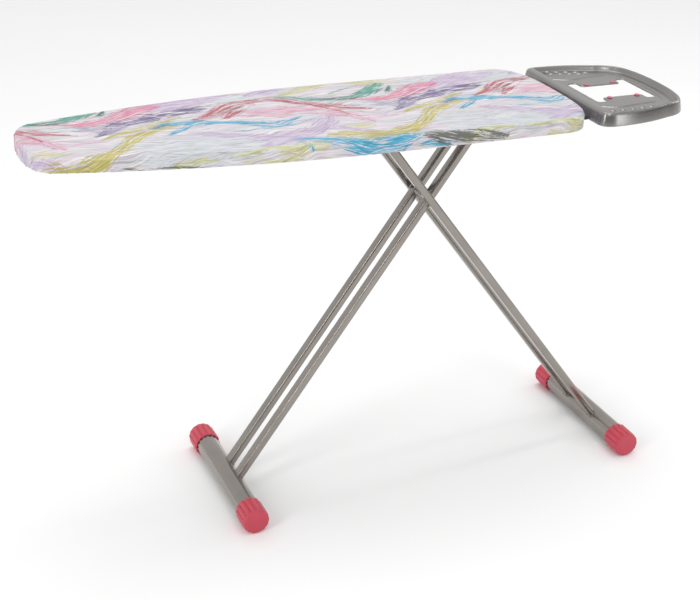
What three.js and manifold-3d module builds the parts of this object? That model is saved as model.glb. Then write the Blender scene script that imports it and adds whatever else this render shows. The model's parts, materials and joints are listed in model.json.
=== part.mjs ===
// Folding ironing board: padded board, iron rest and a crossed pair of twin-tube legs.
// Millimetres, +Z up. The origin is on the floor, under the middle of the overall length.
// +X runs from the rounded nose to the iron rest, +Y runs across the board.
import * as THREE from "three";
import { mergeVertices } from "three/addons/utils/BufferGeometryUtils.js";
import Module from "manifold-3d";

const wasm = await Module();
wasm.setup();

// ---------- driving sizes ----------
const boardLength = 1200; // nose to square end, over the cover
const boardWidth = 380;
const boardHeight = 880; // floor to the ironing surface
const restLength = 261;
const restGap = 11; // between the board's end and the iron rest
const seat = 0.3; // clearance between pieces that touch

const taperLength = 725; // from the start of the taper to the nose
const taperDrop = 78; // how far each side comes in at the nose shoulder
const noseDepth = 58; // length of the rounded nose
const tailCorner = 62;
const tailBulge = 10;

const coverThickness = 1.2;
const padThickness = 9.5;
const deckThickness = 0.8;
const skirtHeight = 31;
const hemWidth = 24;
const ventRadius = 7;
const ventPitchX = 62;
const ventPitchY = 52;

const pivotFromTail = 322;
const pivotDrop = 212; // ironing surface down to the cross pivot
const innerFootReach = 450; // pivot to foot, along X
const outerFootReach = 502;
const innerSpacing = 60.8; // between the two inner leg tubes
const legWidth = 24.5; // rectangular leg tube with rounded corners, across the board
const legDepth = 18.5;
const legCorner = 4.5;
const legWall = 1.2;
const legGap = 1.5; // between an inner and an outer leg tube, for the washer
const legAimDrop = 6; // the leg tubes meet the foot tubes a little below their axis
const legTopReach = 12; // tube left beyond its top cross-hole

const footTubeRadius = 26.1;
const footTubeWall = 1.2;
const footLength = 394;
const capWall = 4.4; // cap's crests beyond the foot tube
const capDepth = 55;
const capEndWall = 14;
const capLobes = 14;
const capLobeDepth = 2.2;

const rodRadius = 4; // pivot rod and hinge pin
const rodClearance = 0.3;
const sleeveWall = 5; // sleeves, bushes and washers beyond the rod
const hingeDrop = 48; // ironing surface down to the leg hinge and slider bar
const earThickness = 2.5;
const earReach = 12;
const bracketWidth = 27;

const barRadius = 8;
const barWall = 1.6;
const barOverhang = 24; // slider bar past the outer leg tubes
const glideWall = 2.5; // glides beyond the slider bar
const slotClearance = 1.4;
const rackThickness = 2;
const rackOffset = 5.5; // outer leg tube to rack plate
const rackMargin = 9; // metal left around the slot
const notchCount = 6;
const notchDepth = 4;
const foldStopAngle = 3.5; // legs against the board: degrees left to level

const channelHeight = 14;
const channelWidth = 28;
const channelLip = 9;
const channelWall = 1.2;
const tailChannelInset = 62; // middle of the last channel, from the board's end
const noseChannelInset = 250;

const restInset = 7; // each side of the tray inside the board's
const restTaper = 30; // each side comes in by this much before the outer corner
const restCorner = 78;
const restHeight = 28;
const restRimWidth = 15;
const restBoardRim = 30; // the rim is wider along the board's end
const restRimHeight = 11; // rim above the tray floor
const restWall = 3;
const restDrop = 2; // rim below the ironing surface
const slotWidth = 24;
const slotLength = 136;
const slotSpan = 152; // outside to outside of the two cross slots
const slotStart = 58; // tray's edge to the first slot
const tongueGap = 84;
const studRadius = 6.5;
const studHeight = 3;
const studInset = 8; // from the tongue's end to the studs
const studSpacing = 72;

const strapWidth = 24;
const strapThickness = 2.5;
const strapInset = 88; // from the board's side to the middle of the strap
const strapReach = 78; // strap under the tray
const screwRadius = 1.9;
const screwHead = 4.2;
const screwHeadHeight = 2.4;
const screwLength = 11;
const rivetLength = 6;
const bossRadius = 6;

const leverThickness = 2.5;
const leverPinRadius = 3;
const leverFromBar = 62; // slider bar to lever pin
const leverArm = 96;
const leverPinDrop = 37; // ironing surface down to the lever pin
const gripLength = 56;
const gripWidth = 34;
const gripThickness = 9;
const springRadius = 5;
const springWire = 0.7;
const springTurns = 4;

// ---------- derived places ----------
const totalLength = boardLength + restGap + restLength;
const noseX = -totalLength / 2;
const tailX = noseX + boardLength;
const restX = tailX + restGap;
const pivotX = tailX - pivotFromTail;
const capRadius = footTubeRadius + capWall;
const footZ = capRadius;
const pivotHeight = boardHeight - pivotDrop;
const halfWidth = boardWidth / 2;

const coverBottomZ = boardHeight - skirtHeight;
const padTopZ = boardHeight - coverThickness - seat;
const padBottomZ = padTopZ - padThickness;
const deckTopZ = padBottomZ - seat;
const deckUnderZ = deckTopZ - deckThickness;
const deckEdgeZ = coverBottomZ + coverThickness + seat;
const coverFit = coverThickness + seat;

const aimRise = pivotHeight - (footZ - legAimDrop);
const innerAngle = Math.atan2(aimRise, innerFootReach);
const outerAngle = Math.atan2(aimRise, outerFootReach);
const hingeZ = boardHeight - hingeDrop;
const hingeRise = hingeZ - pivotHeight;
const hingeX = pivotX + hingeRise / Math.tan(innerAngle);
const barX = pivotX - hingeRise / Math.tan(outerAngle);
const innerTopReach = hingeRise / Math.sin(innerAngle);
const outerTopReach = hingeRise / Math.sin(outerAngle);
const innerTilt = Math.PI / 2 - innerAngle;
const outerTilt = outerAngle - Math.PI / 2;
const innerFootX = pivotX - innerFootReach;
const outerFootX = pivotX + outerFootReach;

const foldStop = THREE.MathUtils.degToRad(foldStopAngle);
const outerStop = (foldStop * outerAngle) / innerAngle;
const barTravel =
  barX - (hingeX - innerTopReach * Math.cos(foldStop) - outerTopReach * Math.cos(outerStop));

const innerY = innerSpacing / 2;
const outerY = innerY + legWidth + legGap;
const innerInsideY = innerY - legWidth / 2;
const innerOutsideY = innerY + legWidth / 2;
const outerInsideY = outerY - legWidth / 2;
const outerOutsideY = outerY + legWidth / 2;
const rackY = outerOutsideY + rackOffset;
const barHalf = outerOutsideY + barOverhang;
const sleeveRadius = rodRadius + sleeveWall;
const glideRadius = barRadius + glideWall;
const slotHalf = glideRadius + slotClearance;

const channelUnderZ = deckUnderZ - seat - channelHeight;
const tailChannelHeight = deckUnderZ - seat - (coverBottomZ - seat);
const tailChannelX = tailX - tailChannelInset;
const strapTopZ = coverBottomZ - 2 * seat;
const strapY = halfWidth - strapInset;
const strapStartX = tailChannelX - strapWidth / 2;
const strapEndX = restX + strapReach;

const restHalfWidth = halfWidth - restInset;
const studY = tongueGap / 2 + studInset;
const restTopZ = boardHeight - restDrop;
const restBottomZ = restTopZ - restHeight;
const restFloorZ = restTopZ - restRimHeight;
const firstSlotX = restX + slotStart;
const slotMiddleX = firstSlotX + slotSpan / 2;
const strapScrewXs = [restX + 42, restX + 64];

const leverPinX = barX + leverFromBar;
const leverPinZ = boardHeight - leverPinDrop;
const leverY = -(barHalf - leverThickness - 2);
const gripEndX = leverPinX + leverArm;

// ---------- materials ----------
function finish(color, roughness, metalness) {
  return new THREE.MeshStandardMaterial({ color, roughness, metalness });
}

const fabric = finish("#d9d3dc", 0.9, 0);
const foam = finish("#e8e2c8", 0.95, 0);
const legPaint = finish("#827c76", 0.35, 0.6);
const trayPaint = finish("#8d8a87", 0.3, 0.6);
const deckPaint = finish("#9a9894", 0.5, 0.5);
const zinc = finish("#b4b6b8", 0.35, 0.9);
const darkSteel = finish("#2d2c2e", 0.5, 0.4);
const capPlastic = finish("#c84b5a", 0.45, 0);
const silicone = finish("#c56072", 0.6, 0);
const nylon = finish("#e4e2dc", 0.5, 0);

// ---------- solids ----------
function solid(geometry) {
  const bare = geometry.index ? geometry.toNonIndexed() : geometry.clone();
  bare.deleteAttribute("normal");
  bare.deleteAttribute("uv");
  const welded = mergeVertices(bare, 1e-4);
  const mesh = new wasm.Mesh({
    numProp: 3,
    vertProperties: new Float32Array(welded.attributes.position.array),
    triVerts: new Uint32Array(welded.index.array),
  });
  return new wasm.Manifold(mesh);
}

function geometryOf(manifold) {
  const mesh = manifold.getMesh();
  const geometry = new THREE.BufferGeometry();
  const positions = new THREE.Float32BufferAttribute(mesh.vertProperties, 3);
  geometry.setAttribute("position", positions);
  geometry.setIndex(new THREE.Uint32BufferAttribute(mesh.triVerts, 1));
  return geometry;
}

function piece(name, manifold, material) {
  const geometry = geometryOf(manifold);
  geometry.computeVertexNormals();
  const mesh = new THREE.Mesh(geometry, material);
  mesh.name = name;
  return mesh;
}

function both(build) {
  return [
    ["near", -1],
    ["far", 1],
  ].map(([side, sign]) => build(side, sign));
}

function extrude(shape, depth, segments = 8) {
  return new THREE.ExtrudeGeometry(shape, { depth, bevelEnabled: false, curveSegments: segments });
}

function slab(points, bottomZ, topZ) {
  return solid(extrude(new THREE.Shape(points), topZ - bottomZ).translate(0, 0, bottomZ));
}

function box(lowX, highX, lowY, highY, lowZ, highZ) {
  const geometry = new THREE.BoxGeometry(highX - lowX, highY - lowY, highZ - lowZ);
  return solid(geometry.translate((lowX + highX) / 2, (lowY + highY) / 2, (lowZ + highZ) / 2));
}

// A bar or ring along Y, from lowY to highY.
function barY(radius, lowY, highY, x, z, segments = 20) {
  const geometry = new THREE.CylinderGeometry(radius, radius, highY - lowY, segments);
  return solid(geometry.translate(x, (lowY + highY) / 2, z));
}

function ringY(outer, inner, lowY, highY, x, z, segments = 20) {
  const bore = barY(inner, lowY - 1, highY + 1, x, z, segments);
  return barY(outer, lowY, highY, x, z, segments).subtract(bore);
}

function barZ(radius, bottomZ, topZ, x, y, segments = 14) {
  const geometry = new THREE.CylinderGeometry(radius, radius, topZ - bottomZ, segments);
  return solid(geometry.rotateX(Math.PI / 2).translate(x, y, (bottomZ + topZ) / 2));
}

// A profile drawn as (x, z) points, extruded along Y between two sides.
function profileXZ(points, lowY, highY) {
  const shape = new THREE.Shape(points.map(([x, z]) => new THREE.Vector2(x, z)));
  const geometry = extrude(shape, highY - lowY);
  return solid(geometry.rotateX(Math.PI / 2).translate(0, highY, 0));
}

// A profile drawn as (y, z) points, extruded along X between two ends.
function profileYZ(points, lowX, highX) {
  const shape = new THREE.Shape(points.map(([y, z]) => new THREE.Vector2(y, z)));
  const geometry = extrude(shape, highX - lowX);
  geometry.rotateX(Math.PI / 2).rotateZ(Math.PI / 2);
  return solid(geometry.translate(lowX, 0, 0));
}

// ---------- outlines ----------
function mirrored(half) {
  const back = half
    .slice(1, -1)
    .reverse()
    .map((point) => new THREE.Vector2(point.x, -point.y));
  return half.concat(back);
}

// Half outlines run from the +X end to the -X end, on the +Y side.
function boardOutline() {
  const taperX = noseX + taperLength;
  const shoulderX = noseX + noseDepth;
  const shoulderY = halfWidth - taperDrop;
  const slope = (2 * taperDrop) / (taperX - shoulderX);
  const path = new THREE.Path();
  path.moveTo(tailX, 0);
  path.quadraticCurveTo(tailX, halfWidth / 2, tailX - tailBulge, halfWidth - tailCorner);
  path.bezierCurveTo(
    tailX - tailBulge - tailCorner * 0.25,
    halfWidth - tailCorner * 0.35,
    tailX - tailBulge - tailCorner * 0.5,
    halfWidth,
    tailX - tailBulge - tailCorner * 1.2,
    halfWidth,
  );
  path.lineTo(taperX, halfWidth);
  path.quadraticCurveTo((taperX + shoulderX) / 2, halfWidth, shoulderX, shoulderY);
  path.bezierCurveTo(
    noseX + noseDepth * 0.2,
    shoulderY - slope * noseDepth * 0.8,
    noseX,
    shoulderY * 0.62,
    noseX,
    0,
  );
  return mirrored(path.getPoints(9));
}

function restOutline() {
  const endX = restX + restLength;
  const sideY = restHalfWidth - restTaper;
  const innerRound = 16;
  const path = new THREE.Path();
  path.moveTo(endX, 0);
  path.quadraticCurveTo(endX, sideY * 0.4, endX - 10, sideY * 0.62);
  path.bezierCurveTo(
    endX - 16,
    sideY * 0.83,
    endX - restCorner * 0.45,
    sideY * 0.98,
    endX - restCorner,
    sideY + restTaper * 0.2,
  );
  path.bezierCurveTo(
    endX - restCorner * 1.7,
    restHalfWidth - restTaper * 0.2,
    restX + restLength * 0.36,
    restHalfWidth,
    restX + innerRound * 2.4,
    restHalfWidth,
  );
  path.bezierCurveTo(
    restX + innerRound * 0.7,
    restHalfWidth,
    restX,
    restHalfWidth - innerRound * 0.5,
    restX,
    restHalfWidth - innerRound * 2,
  );
  path.lineTo(restX, 0);
  return mirrored(path.getPoints(7));
}

// Moves every side of a convex outline inwards by the same distance.
function inset(points, distance) {
  return points.map((point, index) => {
    const before = points[(index + points.length - 1) % points.length];
    const after = points[(index + 1) % points.length];
    const arrive = point.clone().sub(before).normalize();
    const leave = after.clone().sub(point).normalize();
    const normalA = new THREE.Vector2(-arrive.y, arrive.x);
    const normalB = new THREE.Vector2(-leave.y, leave.x);
    const middle = normalA.clone().add(normalB).normalize();
    return point.clone().addScaledVector(middle, distance / middle.dot(normalA));
  });
}

const board = boardOutline();
const tray = restOutline();

function halfWidthAt(x, margin) {
  const points = inset(board, margin);
  let reach = 0;
  points.forEach((point, index) => {
    const next = points[(index + 1) % points.length];
    if ((point.x - x) * (next.x - x) <= 0 && point.y > 0 && point.x !== next.x) {
      const share = (x - point.x) / (next.x - point.x);
      reach = Math.max(reach, point.y + share * (next.y - point.y));
    }
  });
  return reach;
}

// ---------- board ----------
function coverPiece() {
  const outside = slab(board, coverBottomZ, boardHeight);
  const room = slab(
    inset(board, coverThickness),
    coverBottomZ + coverThickness,
    boardHeight - coverThickness,
  );
  const mouth = slab(inset(board, hemWidth), coverBottomZ - 1, coverBottomZ + coverThickness + 1);
  return piece("cover", outside.subtract(room).subtract(mouth), fabric);
}

function padPiece() {
  return piece("foam_pad", slab(inset(board, coverFit), padBottomZ, padTopZ), foam);
}

// Hexagonal vents in staggered rows, kept clear of the channels and the folded edge.
function ventCutter(channelXs) {
  const edge = 34;
  const cutters = [];
  const rows = Math.floor(halfWidth / ventPitchY);
  const columns = Math.floor(boardLength / ventPitchX);
  for (let column = 0; column <= columns; column += 1) {
    const x = noseX + ventPitchX * (column + 0.5);
    const onChannel = channelXs.some((middle) => {
      return Math.abs(x - middle) < channelWidth / 2 + channelLip + ventRadius;
    });
    for (let row = -rows; row <= rows; row += 1) {
      const y = ventPitchY * (row + (column % 2 ? 0.5 : 0));
      const fits = !onChannel && x < tailX - edge && Math.abs(y) < halfWidthAt(x, edge);
      if (fits) {
        cutters.push(barZ(ventRadius, deckUnderZ - 1, deckTopZ + 1, x, y, 6));
      }
    }
  }
  return wasm.Manifold.union(cutters);
}

function deckPiece() {
  const outside = slab(inset(board, coverFit), deckEdgeZ, deckTopZ);
  const room = slab(inset(board, coverFit + deckThickness), deckEdgeZ - 1, deckUnderZ);
  const vents = ventCutter([hingeX, tailChannelX, noseX + noseChannelInset]);
  return piece("deck_pan", outside.subtract(room).subtract(vents), deckPaint);
}

// A hat-section channel across the board, welded under the deck by its two lips.
function channelSolid(middleX, height, halfLength) {
  const topZ = deckUnderZ - seat;
  const bottomZ = topZ - height;
  const half = channelWidth / 2;
  const side = [
    [half + channelLip, topZ],
    [half + channelLip, topZ - channelWall],
    [half, topZ - channelWall],
    [half, bottomZ],
  ];
  const inner = [
    [half - channelWall, bottomZ + channelWall],
    [half - channelWall, topZ],
  ];
  const mirror = (points) => points.map(([x, z]) => [-x, z]).reverse();
  const loop = [...side, ...mirror(side), ...mirror(inner), ...inner];
  const points = loop.map(([x, z]) => [middleX + x, z]);
  return profileXZ(points, -halfLength, halfLength);
}

function channelPieces() {
  const edge = 22;
  const noseChannelX = noseX + noseChannelInset;
  const tailHalf = halfWidthAt(tailX - tailCorner * 0.6, hemWidth);
  const noseHalf = halfWidthAt(noseChannelX - channelWidth, edge);
  const nose = channelSolid(noseChannelX, channelHeight, noseHalf);
  const hinge = channelSolid(hingeX, channelHeight, halfWidth - edge);
  let tail = channelSolid(tailChannelX, tailChannelHeight, tailHalf);
  for (const y of [-strapY, strapY]) {
    tail = tail.subtract(barZ(screwRadius + seat, strapTopZ, strapTopZ + 8, tailChannelX, y, 12));
  }
  return [
    piece("nose_channel", nose, deckPaint),
    piece("hinge_channel", hinge, deckPaint),
    piece("tail_channel", tail, deckPaint),
  ];
}

// ---------- leg hinge ----------
// A folded U bracket: its back lies under the hinge channel, its two ears hold the pin.
function hingeBracketPiece() {
  const half = bracketWidth / 2;
  const topZ = channelUnderZ - seat;
  const bottomZ = hingeZ - earReach;
  const inner = half - earThickness;
  const profile = [
    [half, topZ],
    [-half, topZ],
    [-half, bottomZ],
    [-inner, bottomZ],
    [-inner, topZ - earThickness],
    [inner, topZ - earThickness],
    [inner, bottomZ],
    [half, bottomZ],
  ];
  const bent = profileYZ(profile, hingeX - earReach, hingeX + earReach);
  const bore = barY(rodRadius + rodClearance, -half - 1, half + 1, hingeX, hingeZ);
  return piece("hinge_bracket", bent.subtract(bore), zinc);
}

function hingePinPiece() {
  const reach = innerY + legWidth / 4;
  return piece("hinge_pin", barY(rodRadius, -reach, reach, hingeX, hingeZ), zinc);
}

function hingeSpacerPiece() {
  const reach = bracketWidth / 2 - earThickness - seat;
  const ring = ringY(sleeveRadius, rodRadius + rodClearance, -reach, reach, hingeX, hingeZ);
  return piece("hinge_spacer", ring, nylon);
}

function hingeBushPieces() {
  const low = bracketWidth / 2 + seat;
  const high = innerInsideY - seat;
  return both((side, sign) => {
    const ends = [low * sign, high * sign].sort((a, b) => a - b);
    const ring = ringY(sleeveRadius, rodRadius + rodClearance, ...ends, hingeX, hingeZ);
    return piece(`hinge_bush_${side}`, ring, nylon);
  });
}

// ---------- legs ----------
// Legs are drawn upright about the cross pivot at their own origin, then tilted into place.
function roundedShape(width, depth, corner) {
  const x = depth / 2 - corner;
  const y = width / 2 - corner;
  const quarter = Math.PI / 2;
  const shape = new THREE.Shape();
  shape.absarc(x, y, corner, 0, quarter, false);
  shape.absarc(-x, y, corner, quarter, 2 * quarter, false);
  shape.absarc(-x, -y, corner, 2 * quarter, 3 * quarter, false);
  shape.absarc(x, -y, corner, 3 * quarter, 4 * quarter, false);
  return shape;
}

function legTube(y, bottom, top) {
  const outline = roundedShape(legWidth, legDepth, legCorner);
  const outside = solid(extrude(outline, top - bottom, 4));
  const bore = roundedShape(legWidth - 2 * legWall, legDepth - 2 * legWall, legCorner - legWall);
  const inside = solid(extrude(bore, top - bottom + 2, 4).translate(0, 0, -1));
  return outside.subtract(inside).translate([0, y, bottom]);
}

// The foot tube's axis in the leg's own upright frame.
function footInLeg(footReach, tilt) {
  const drop = footZ - pivotHeight;
  const across = footReach * Math.cos(tilt) - drop * Math.sin(tilt);
  const along = footReach * Math.sin(tilt) + drop * Math.cos(tilt);
  return [across, along];
}

function legPieces(name, offsetY, footReach, tilt, topReach, topRadius, pivotReach, topHoleReach) {
  const [footAcross, footAlong] = footInLeg(footReach, tilt);
  return both((side, sign) => {
    const y = offsetY * sign;
    const tube = legTube(y, footAlong, topReach + legTopReach);
    const saddle = barY(
      footTubeRadius + seat,
      y - legWidth,
      y + legWidth,
      footAcross,
      footAlong,
      36,
    );
    const pivotHole = barY(rodRadius + rodClearance, -pivotReach, pivotReach, 0, 0);
    const topHole = barY(topRadius, -topHoleReach, topHoleReach, 0, topReach);
    const shaped = tube.subtract(saddle).subtract(pivotHole).subtract(topHole);
    const [upper] = shaped.decompose().sort((a, b) => b.volume() - a.volume());
    return piece(`${name}_leg_${side}`, upper, legPaint);
  });
}

function footTubePiece(name) {
  const reach = footLength / 2 - capEndWall - seat;
  const ring = ringY(footTubeRadius, footTubeRadius - footTubeWall, -reach, reach, 0, 0, 36);
  return piece(`${name}_foot_tube`, ring, legPaint);
}

function lobedShape() {
  const steps = capLobes * 5;
  const points = [];
  for (let step = 0; step < steps; step += 1) {
    const turn = (step / steps) * 2 * Math.PI;
    const radius = capRadius - (capLobeDepth * (1 - Math.cos(capLobes * turn))) / 2;
    points.push(new THREE.Vector2(radius * Math.sin(turn), -radius * Math.cos(turn)));
  }
  return new THREE.Shape(points);
}

function footCapPieces(name) {
  const outerEnd = footLength / 2;
  return both((side, sign) => {
    const body = extrude(lobedShape(), capDepth).rotateX(Math.PI / 2).translate(0, capDepth, 0);
    const bore = barY(footTubeRadius + seat, -1, capDepth - capEndWall, 0, 0, 36);
    let cap = solid(body).subtract(bore).translate([0, outerEnd - capDepth, 0]);
    if (sign < 0) {
      cap = cap.mirror([0, 1, 0]);
    }
    return piece(`${name}_foot_cap_${side}`, cap, capPlastic);
  });
}

// ---------- cross pivot ----------
function pivotPieces() {
  const rodReach = outerY + legWidth / 4;
  const rod = piece("pivot_rod", barY(rodRadius, -rodReach, rodReach, 0, 0), zinc);
  const bore = rodRadius + rodClearance;
  const sleeveReach = innerInsideY - seat;
  const sleeveRing = ringY(sleeveRadius, bore, -sleeveReach, sleeveReach, 0, 0);
  const sleeve = piece("pivot_sleeve", sleeveRing, legPaint);
  const washers = both((side, sign) => {
    const faces = [innerOutsideY + seat, outerInsideY - seat];
    const ends = faces.map((face) => face * sign).sort((a, b) => a - b);
    return piece(`pivot_washer_${side}`, ringY(sleeveRadius, bore, ...ends, 0, 0), nylon);
  });
  return { rod, sleeve, washers };
}

// ---------- slider and rack ----------
function sliderPieces() {
  const bar = ringY(barRadius, barRadius - barWall, -barHalf, barHalf, 0, 0);
  const glides = both((side, sign) => {
    const faces = [outerOutsideY + seat, rackY + rackThickness + rackOffset];
    const ends = faces.map((face) => face * sign).sort((a, b) => a - b);
    return piece(`slider_glide_${side}`, ringY(glideRadius, barRadius + seat, ...ends, 0, 0), nylon);
  });
  return [piece("slider_bar", bar, zinc), ...glides];
}

// A plate with a long slot for the slider bar and a row of height notches along its top edge.
function rackPieces() {
  const topZ = deckUnderZ - seat;
  const lowX = barX - barTravel - slotHalf - rackMargin;
  const highX = barX + slotHalf + rackMargin;
  const lowZ = hingeZ - slotHalf - rackMargin;
  const flangeWidth = 15;
  return both((side, sign) => {
    const lowY = sign > 0 ? rackY : -rackY - rackThickness;
    const highY = lowY + rackThickness;
    const flangeLow = sign > 0 ? lowY : highY - flangeWidth;
    let plate = box(lowX, highX, lowY, highY, lowZ, topZ);
    plate = plate.add(box(lowX, highX, flangeLow, flangeLow + flangeWidth, topZ - rackThickness, topZ));
    const middle = box(
      barX - barTravel,
      barX,
      lowY - 1,
      highY + 1,
      hingeZ - slotHalf,
      hingeZ + slotHalf,
    );
    plate = plate.subtract(middle);
    for (const endX of [barX - barTravel, barX]) {
      plate = plate.subtract(barY(slotHalf, lowY - 1, highY + 1, endX, hingeZ, 24));
    }
    for (let notch = 0; notch < notchCount; notch += 1) {
      const x = barX - (barTravel * notch) / notchCount;
      plate = plate.subtract(barY(glideRadius, lowY - 1, highY + 1, x, hingeZ + notchDepth, 20));
    }
    return piece(`rack_${side}`, plate, zinc);
  });
}

// ---------- release lever ----------
function leverBracketPiece() {
  const topZ = deckUnderZ - seat;
  const bottomZ = leverPinZ - 7;
  const lowY = leverY - leverThickness / 2 - 3;
  const highY = leverY + leverThickness / 2 + 3;
  const wall = 1.5;
  const profile = [
    [highY, topZ],
    [lowY, topZ],
    [lowY, bottomZ],
    [lowY + wall, bottomZ],
    [lowY + wall, topZ - wall],
    [highY - wall, topZ - wall],
    [highY - wall, bottomZ],
    [highY, bottomZ],
  ];
  const bent = profileYZ(profile, leverPinX - 9, leverPinX + 9);
  const bore = barY(leverPinRadius + rodClearance, lowY - 1, highY + 1, leverPinX, leverPinZ);
  return piece("lever_bracket", bent.subtract(bore), zinc);
}

// The catch end lies just under the slider bar; the other end carries the grip.
function leverPiece() {
  const catchTopZ = hingeZ - barRadius - 1.2;
  const catchX = barX - barRadius - 10;
  const blade = [
    [gripEndX, leverPinZ + 3],
    [leverPinX - 6, leverPinZ + 6],
    [leverPinX - 14, leverPinZ],
    [barX + 14, catchTopZ - 1],
    [catchX + 7, catchTopZ - 4],
    [catchX + 5, catchTopZ],
    [catchX, catchTopZ],
    [catchX - 2, catchTopZ - 10],
    [barX + 16, catchTopZ - 9],
    [leverPinX - 2, leverPinZ - 8],
    [leverPinX + 10, leverPinZ - 6],
    [gripEndX, leverPinZ - 3],
  ];
  const lowY = leverY - leverThickness / 2;
  const highY = leverY + leverThickness / 2;
  const tab = box(
    gripEndX - gripWidth + 8,
    gripEndX,
    leverY - gripLength + 6,
    leverY,
    leverPinZ - 1,
    leverPinZ + 1,
  );
  const bore = barY(leverPinRadius + rodClearance, lowY - 1, highY + 1, leverPinX, leverPinZ);
  const bent = profileXZ(blade, lowY, highY).add(tab).subtract(bore);
  return piece("release_lever", bent, zinc);
}

function gripPiece() {
  const half = gripThickness / 2;
  const lowX = gripEndX - gripWidth + 4;
  const highX = gripEndX + 6;
  const shape = new THREE.Shape();
  shape.absarc(highX - half, leverPinZ, half, -Math.PI / 2, Math.PI / 2, false);
  shape.absarc(lowX + half, leverPinZ, half, Math.PI / 2, (3 * Math.PI) / 2, false);
  const highY = leverY - leverThickness / 2 - seat;
  const geometry = extrude(shape, gripLength, 8).rotateX(Math.PI / 2).translate(0, highY, 0);
  const pocket = box(
    gripEndX - gripWidth + 8 - seat,
    gripEndX + seat,
    leverY - gripLength + 6 - seat,
    leverY,
    leverPinZ - 1 - seat,
    leverPinZ + 1 + seat,
  );
  return piece("lever_grip", solid(geometry).subtract(pocket), capPlastic);
}

function leverPinPiece() {
  const low = leverY - leverThickness / 2 - 5;
  const high = leverY + leverThickness / 2 + 4 + springTurns * 2 + 3;
  return piece("lever_pin", barY(leverPinRadius, low, high, leverPinX, leverPinZ, 16), zinc);
}

class CoilCurve extends THREE.Curve {
  getPoint(share, target = new THREE.Vector3()) {
    const turn = share * springTurns * 2 * Math.PI;
    return target.set(
      springRadius * Math.cos(turn),
      share * springTurns * springWire * 2.6,
      springRadius * Math.sin(turn),
    );
  }
}

function leverSpringPiece() {
  const section = new THREE.Shape();
  section.absarc(0, 0, springWire, 0, 2 * Math.PI, false);
  const geometry = new THREE.ExtrudeGeometry(section, {
    steps: springTurns * 12,
    curveSegments: 3,
    extrudePath: new CoilCurve(),
  });
  const startY = leverY + leverThickness / 2 + 4.5;
  return piece("lever_spring", solid(geometry).translate([leverPinX, startY, leverPinZ]), zinc);
}

// ---------- iron rest ----------
function cutOut() {
  const margin = 20;
  const lowZ = restBottomZ - margin;
  const highZ = restTopZ + margin;
  const slotHalfY = slotLength / 2;
  const lastX = firstSlotX + slotSpan;
  return box(firstSlotX, firstSlotX + slotWidth, -slotHalfY, slotHalfY, lowZ, highZ)
    .add(box(lastX - slotWidth, lastX, -slotHalfY, slotHalfY, lowZ, highZ))
    .add(box(firstSlotX, lastX, -tongueGap / 2, tongueGap / 2, lowZ, highZ));
}

function trayPiece() {
  const rim = inset(tray, restRimWidth);
  const underZ = restFloorZ - restWall;
  const outside = slab(tray, restBottomZ, restTopZ);
  const pastRim = (distance) =>
    box(restX + distance, restX + restLength, -halfWidth, halfWidth, restBottomZ - 3, restTopZ + 3);
  const recess = slab(rim, restFloorZ, restTopZ + 1).intersect(pastRim(restBoardRim));
  const hollow = slab(inset(tray, restWall), restBottomZ - 1, underZ);
  const rimHollow = slab(inset(tray, restWall), restBottomZ - 1, restTopZ - restWall).subtract(
    slab(inset(tray, restRimWidth - restWall), restBottomZ - 2, restTopZ).intersect(
      pastRim(restBoardRim - restWall),
    ),
  );
  let body = outside.subtract(recess).subtract(hollow).subtract(rimHollow).subtract(cutOut());
  const bossBottom = strapTopZ + seat;
  for (const x of strapScrewXs) {
    for (const y of [-strapY, strapY]) {
      body = body.add(barZ(bossRadius, bossBottom, underZ + 1, x, y, 12));
      body = body.subtract(barZ(screwRadius + seat, bossBottom - 1, underZ - 0.5, x, y, 10));
    }
  }
  return piece("iron_rest_tray", body, trayPaint);
}

// A low domed button with a short stem in the tray floor's place.
function studPieces() {
  const profile = [
    [0, 0],
    [studRadius, 0],
    [studRadius * 0.94, studHeight * 0.55],
    [studRadius * 0.6, studHeight * 0.9],
    [0, studHeight],
  ].map(([x, y]) => new THREE.Vector2(x, y));
  const studs = [];
  for (const [end, offset] of [
    ["inner", -studSpacing / 2],
    ["outer", studSpacing / 2],
  ]) {
    for (const [side, y] of [
      ["near", -studY],
      ["far", studY],
    ]) {
      const dome = solid(new THREE.LatheGeometry(profile, 14).rotateX(Math.PI / 2));
      const placed = dome.translate([slotMiddleX + offset, y, restFloorZ + seat]);
      studs.push(piece(`stud_${end}_${side}`, placed, silicone));
    }
  }
  return studs;
}

function strapPieces() {
  const half = strapWidth / 2;
  return both((side, sign) => {
    const middle = strapY * sign;
    const low = strapTopZ - strapThickness;
    let strap = box(strapStartX, strapEndX, middle - half, middle + half, low, strapTopZ);
    for (const x of [tailChannelX, ...strapScrewXs]) {
      strap = strap.subtract(barZ(screwRadius + seat, low - 1, strapTopZ + 1, x, middle, 12));
    }
    return piece(`rest_strap_${side}`, strap, darkSteel);
  });
}

// A pan-headed fastener from below: its head lies against the strap.
function fastener(length, x, y) {
  const profile = [
    [0, 0],
    [screwHead * 0.7, 0],
    [screwHead, screwHeadHeight * 0.5],
    [screwHead, screwHeadHeight],
    [screwRadius, screwHeadHeight],
    [screwRadius, screwHeadHeight + length],
    [0, screwHeadHeight + length],
  ].map(([across, along]) => new THREE.Vector2(across, along));
  const headZ = strapTopZ - strapThickness - seat - screwHeadHeight;
  const turned = new THREE.LatheGeometry(profile, 12).rotateX(Math.PI / 2);
  return solid(turned).translate([x, y, headZ]);
}

function fastenerPieces() {
  return both((side, sign) => {
    const y = strapY * sign;
    const screws = strapScrewXs.map((x, index) => {
      return piece(`rest_screw_${side}_${index + 1}`, fastener(screwLength, x, y), zinc);
    });
    const rivet = fastener(rivetLength, tailChannelX, y);
    return [...screws, piece(`strap_rivet_${side}`, rivet, zinc)];
  }).flat();
}

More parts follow.
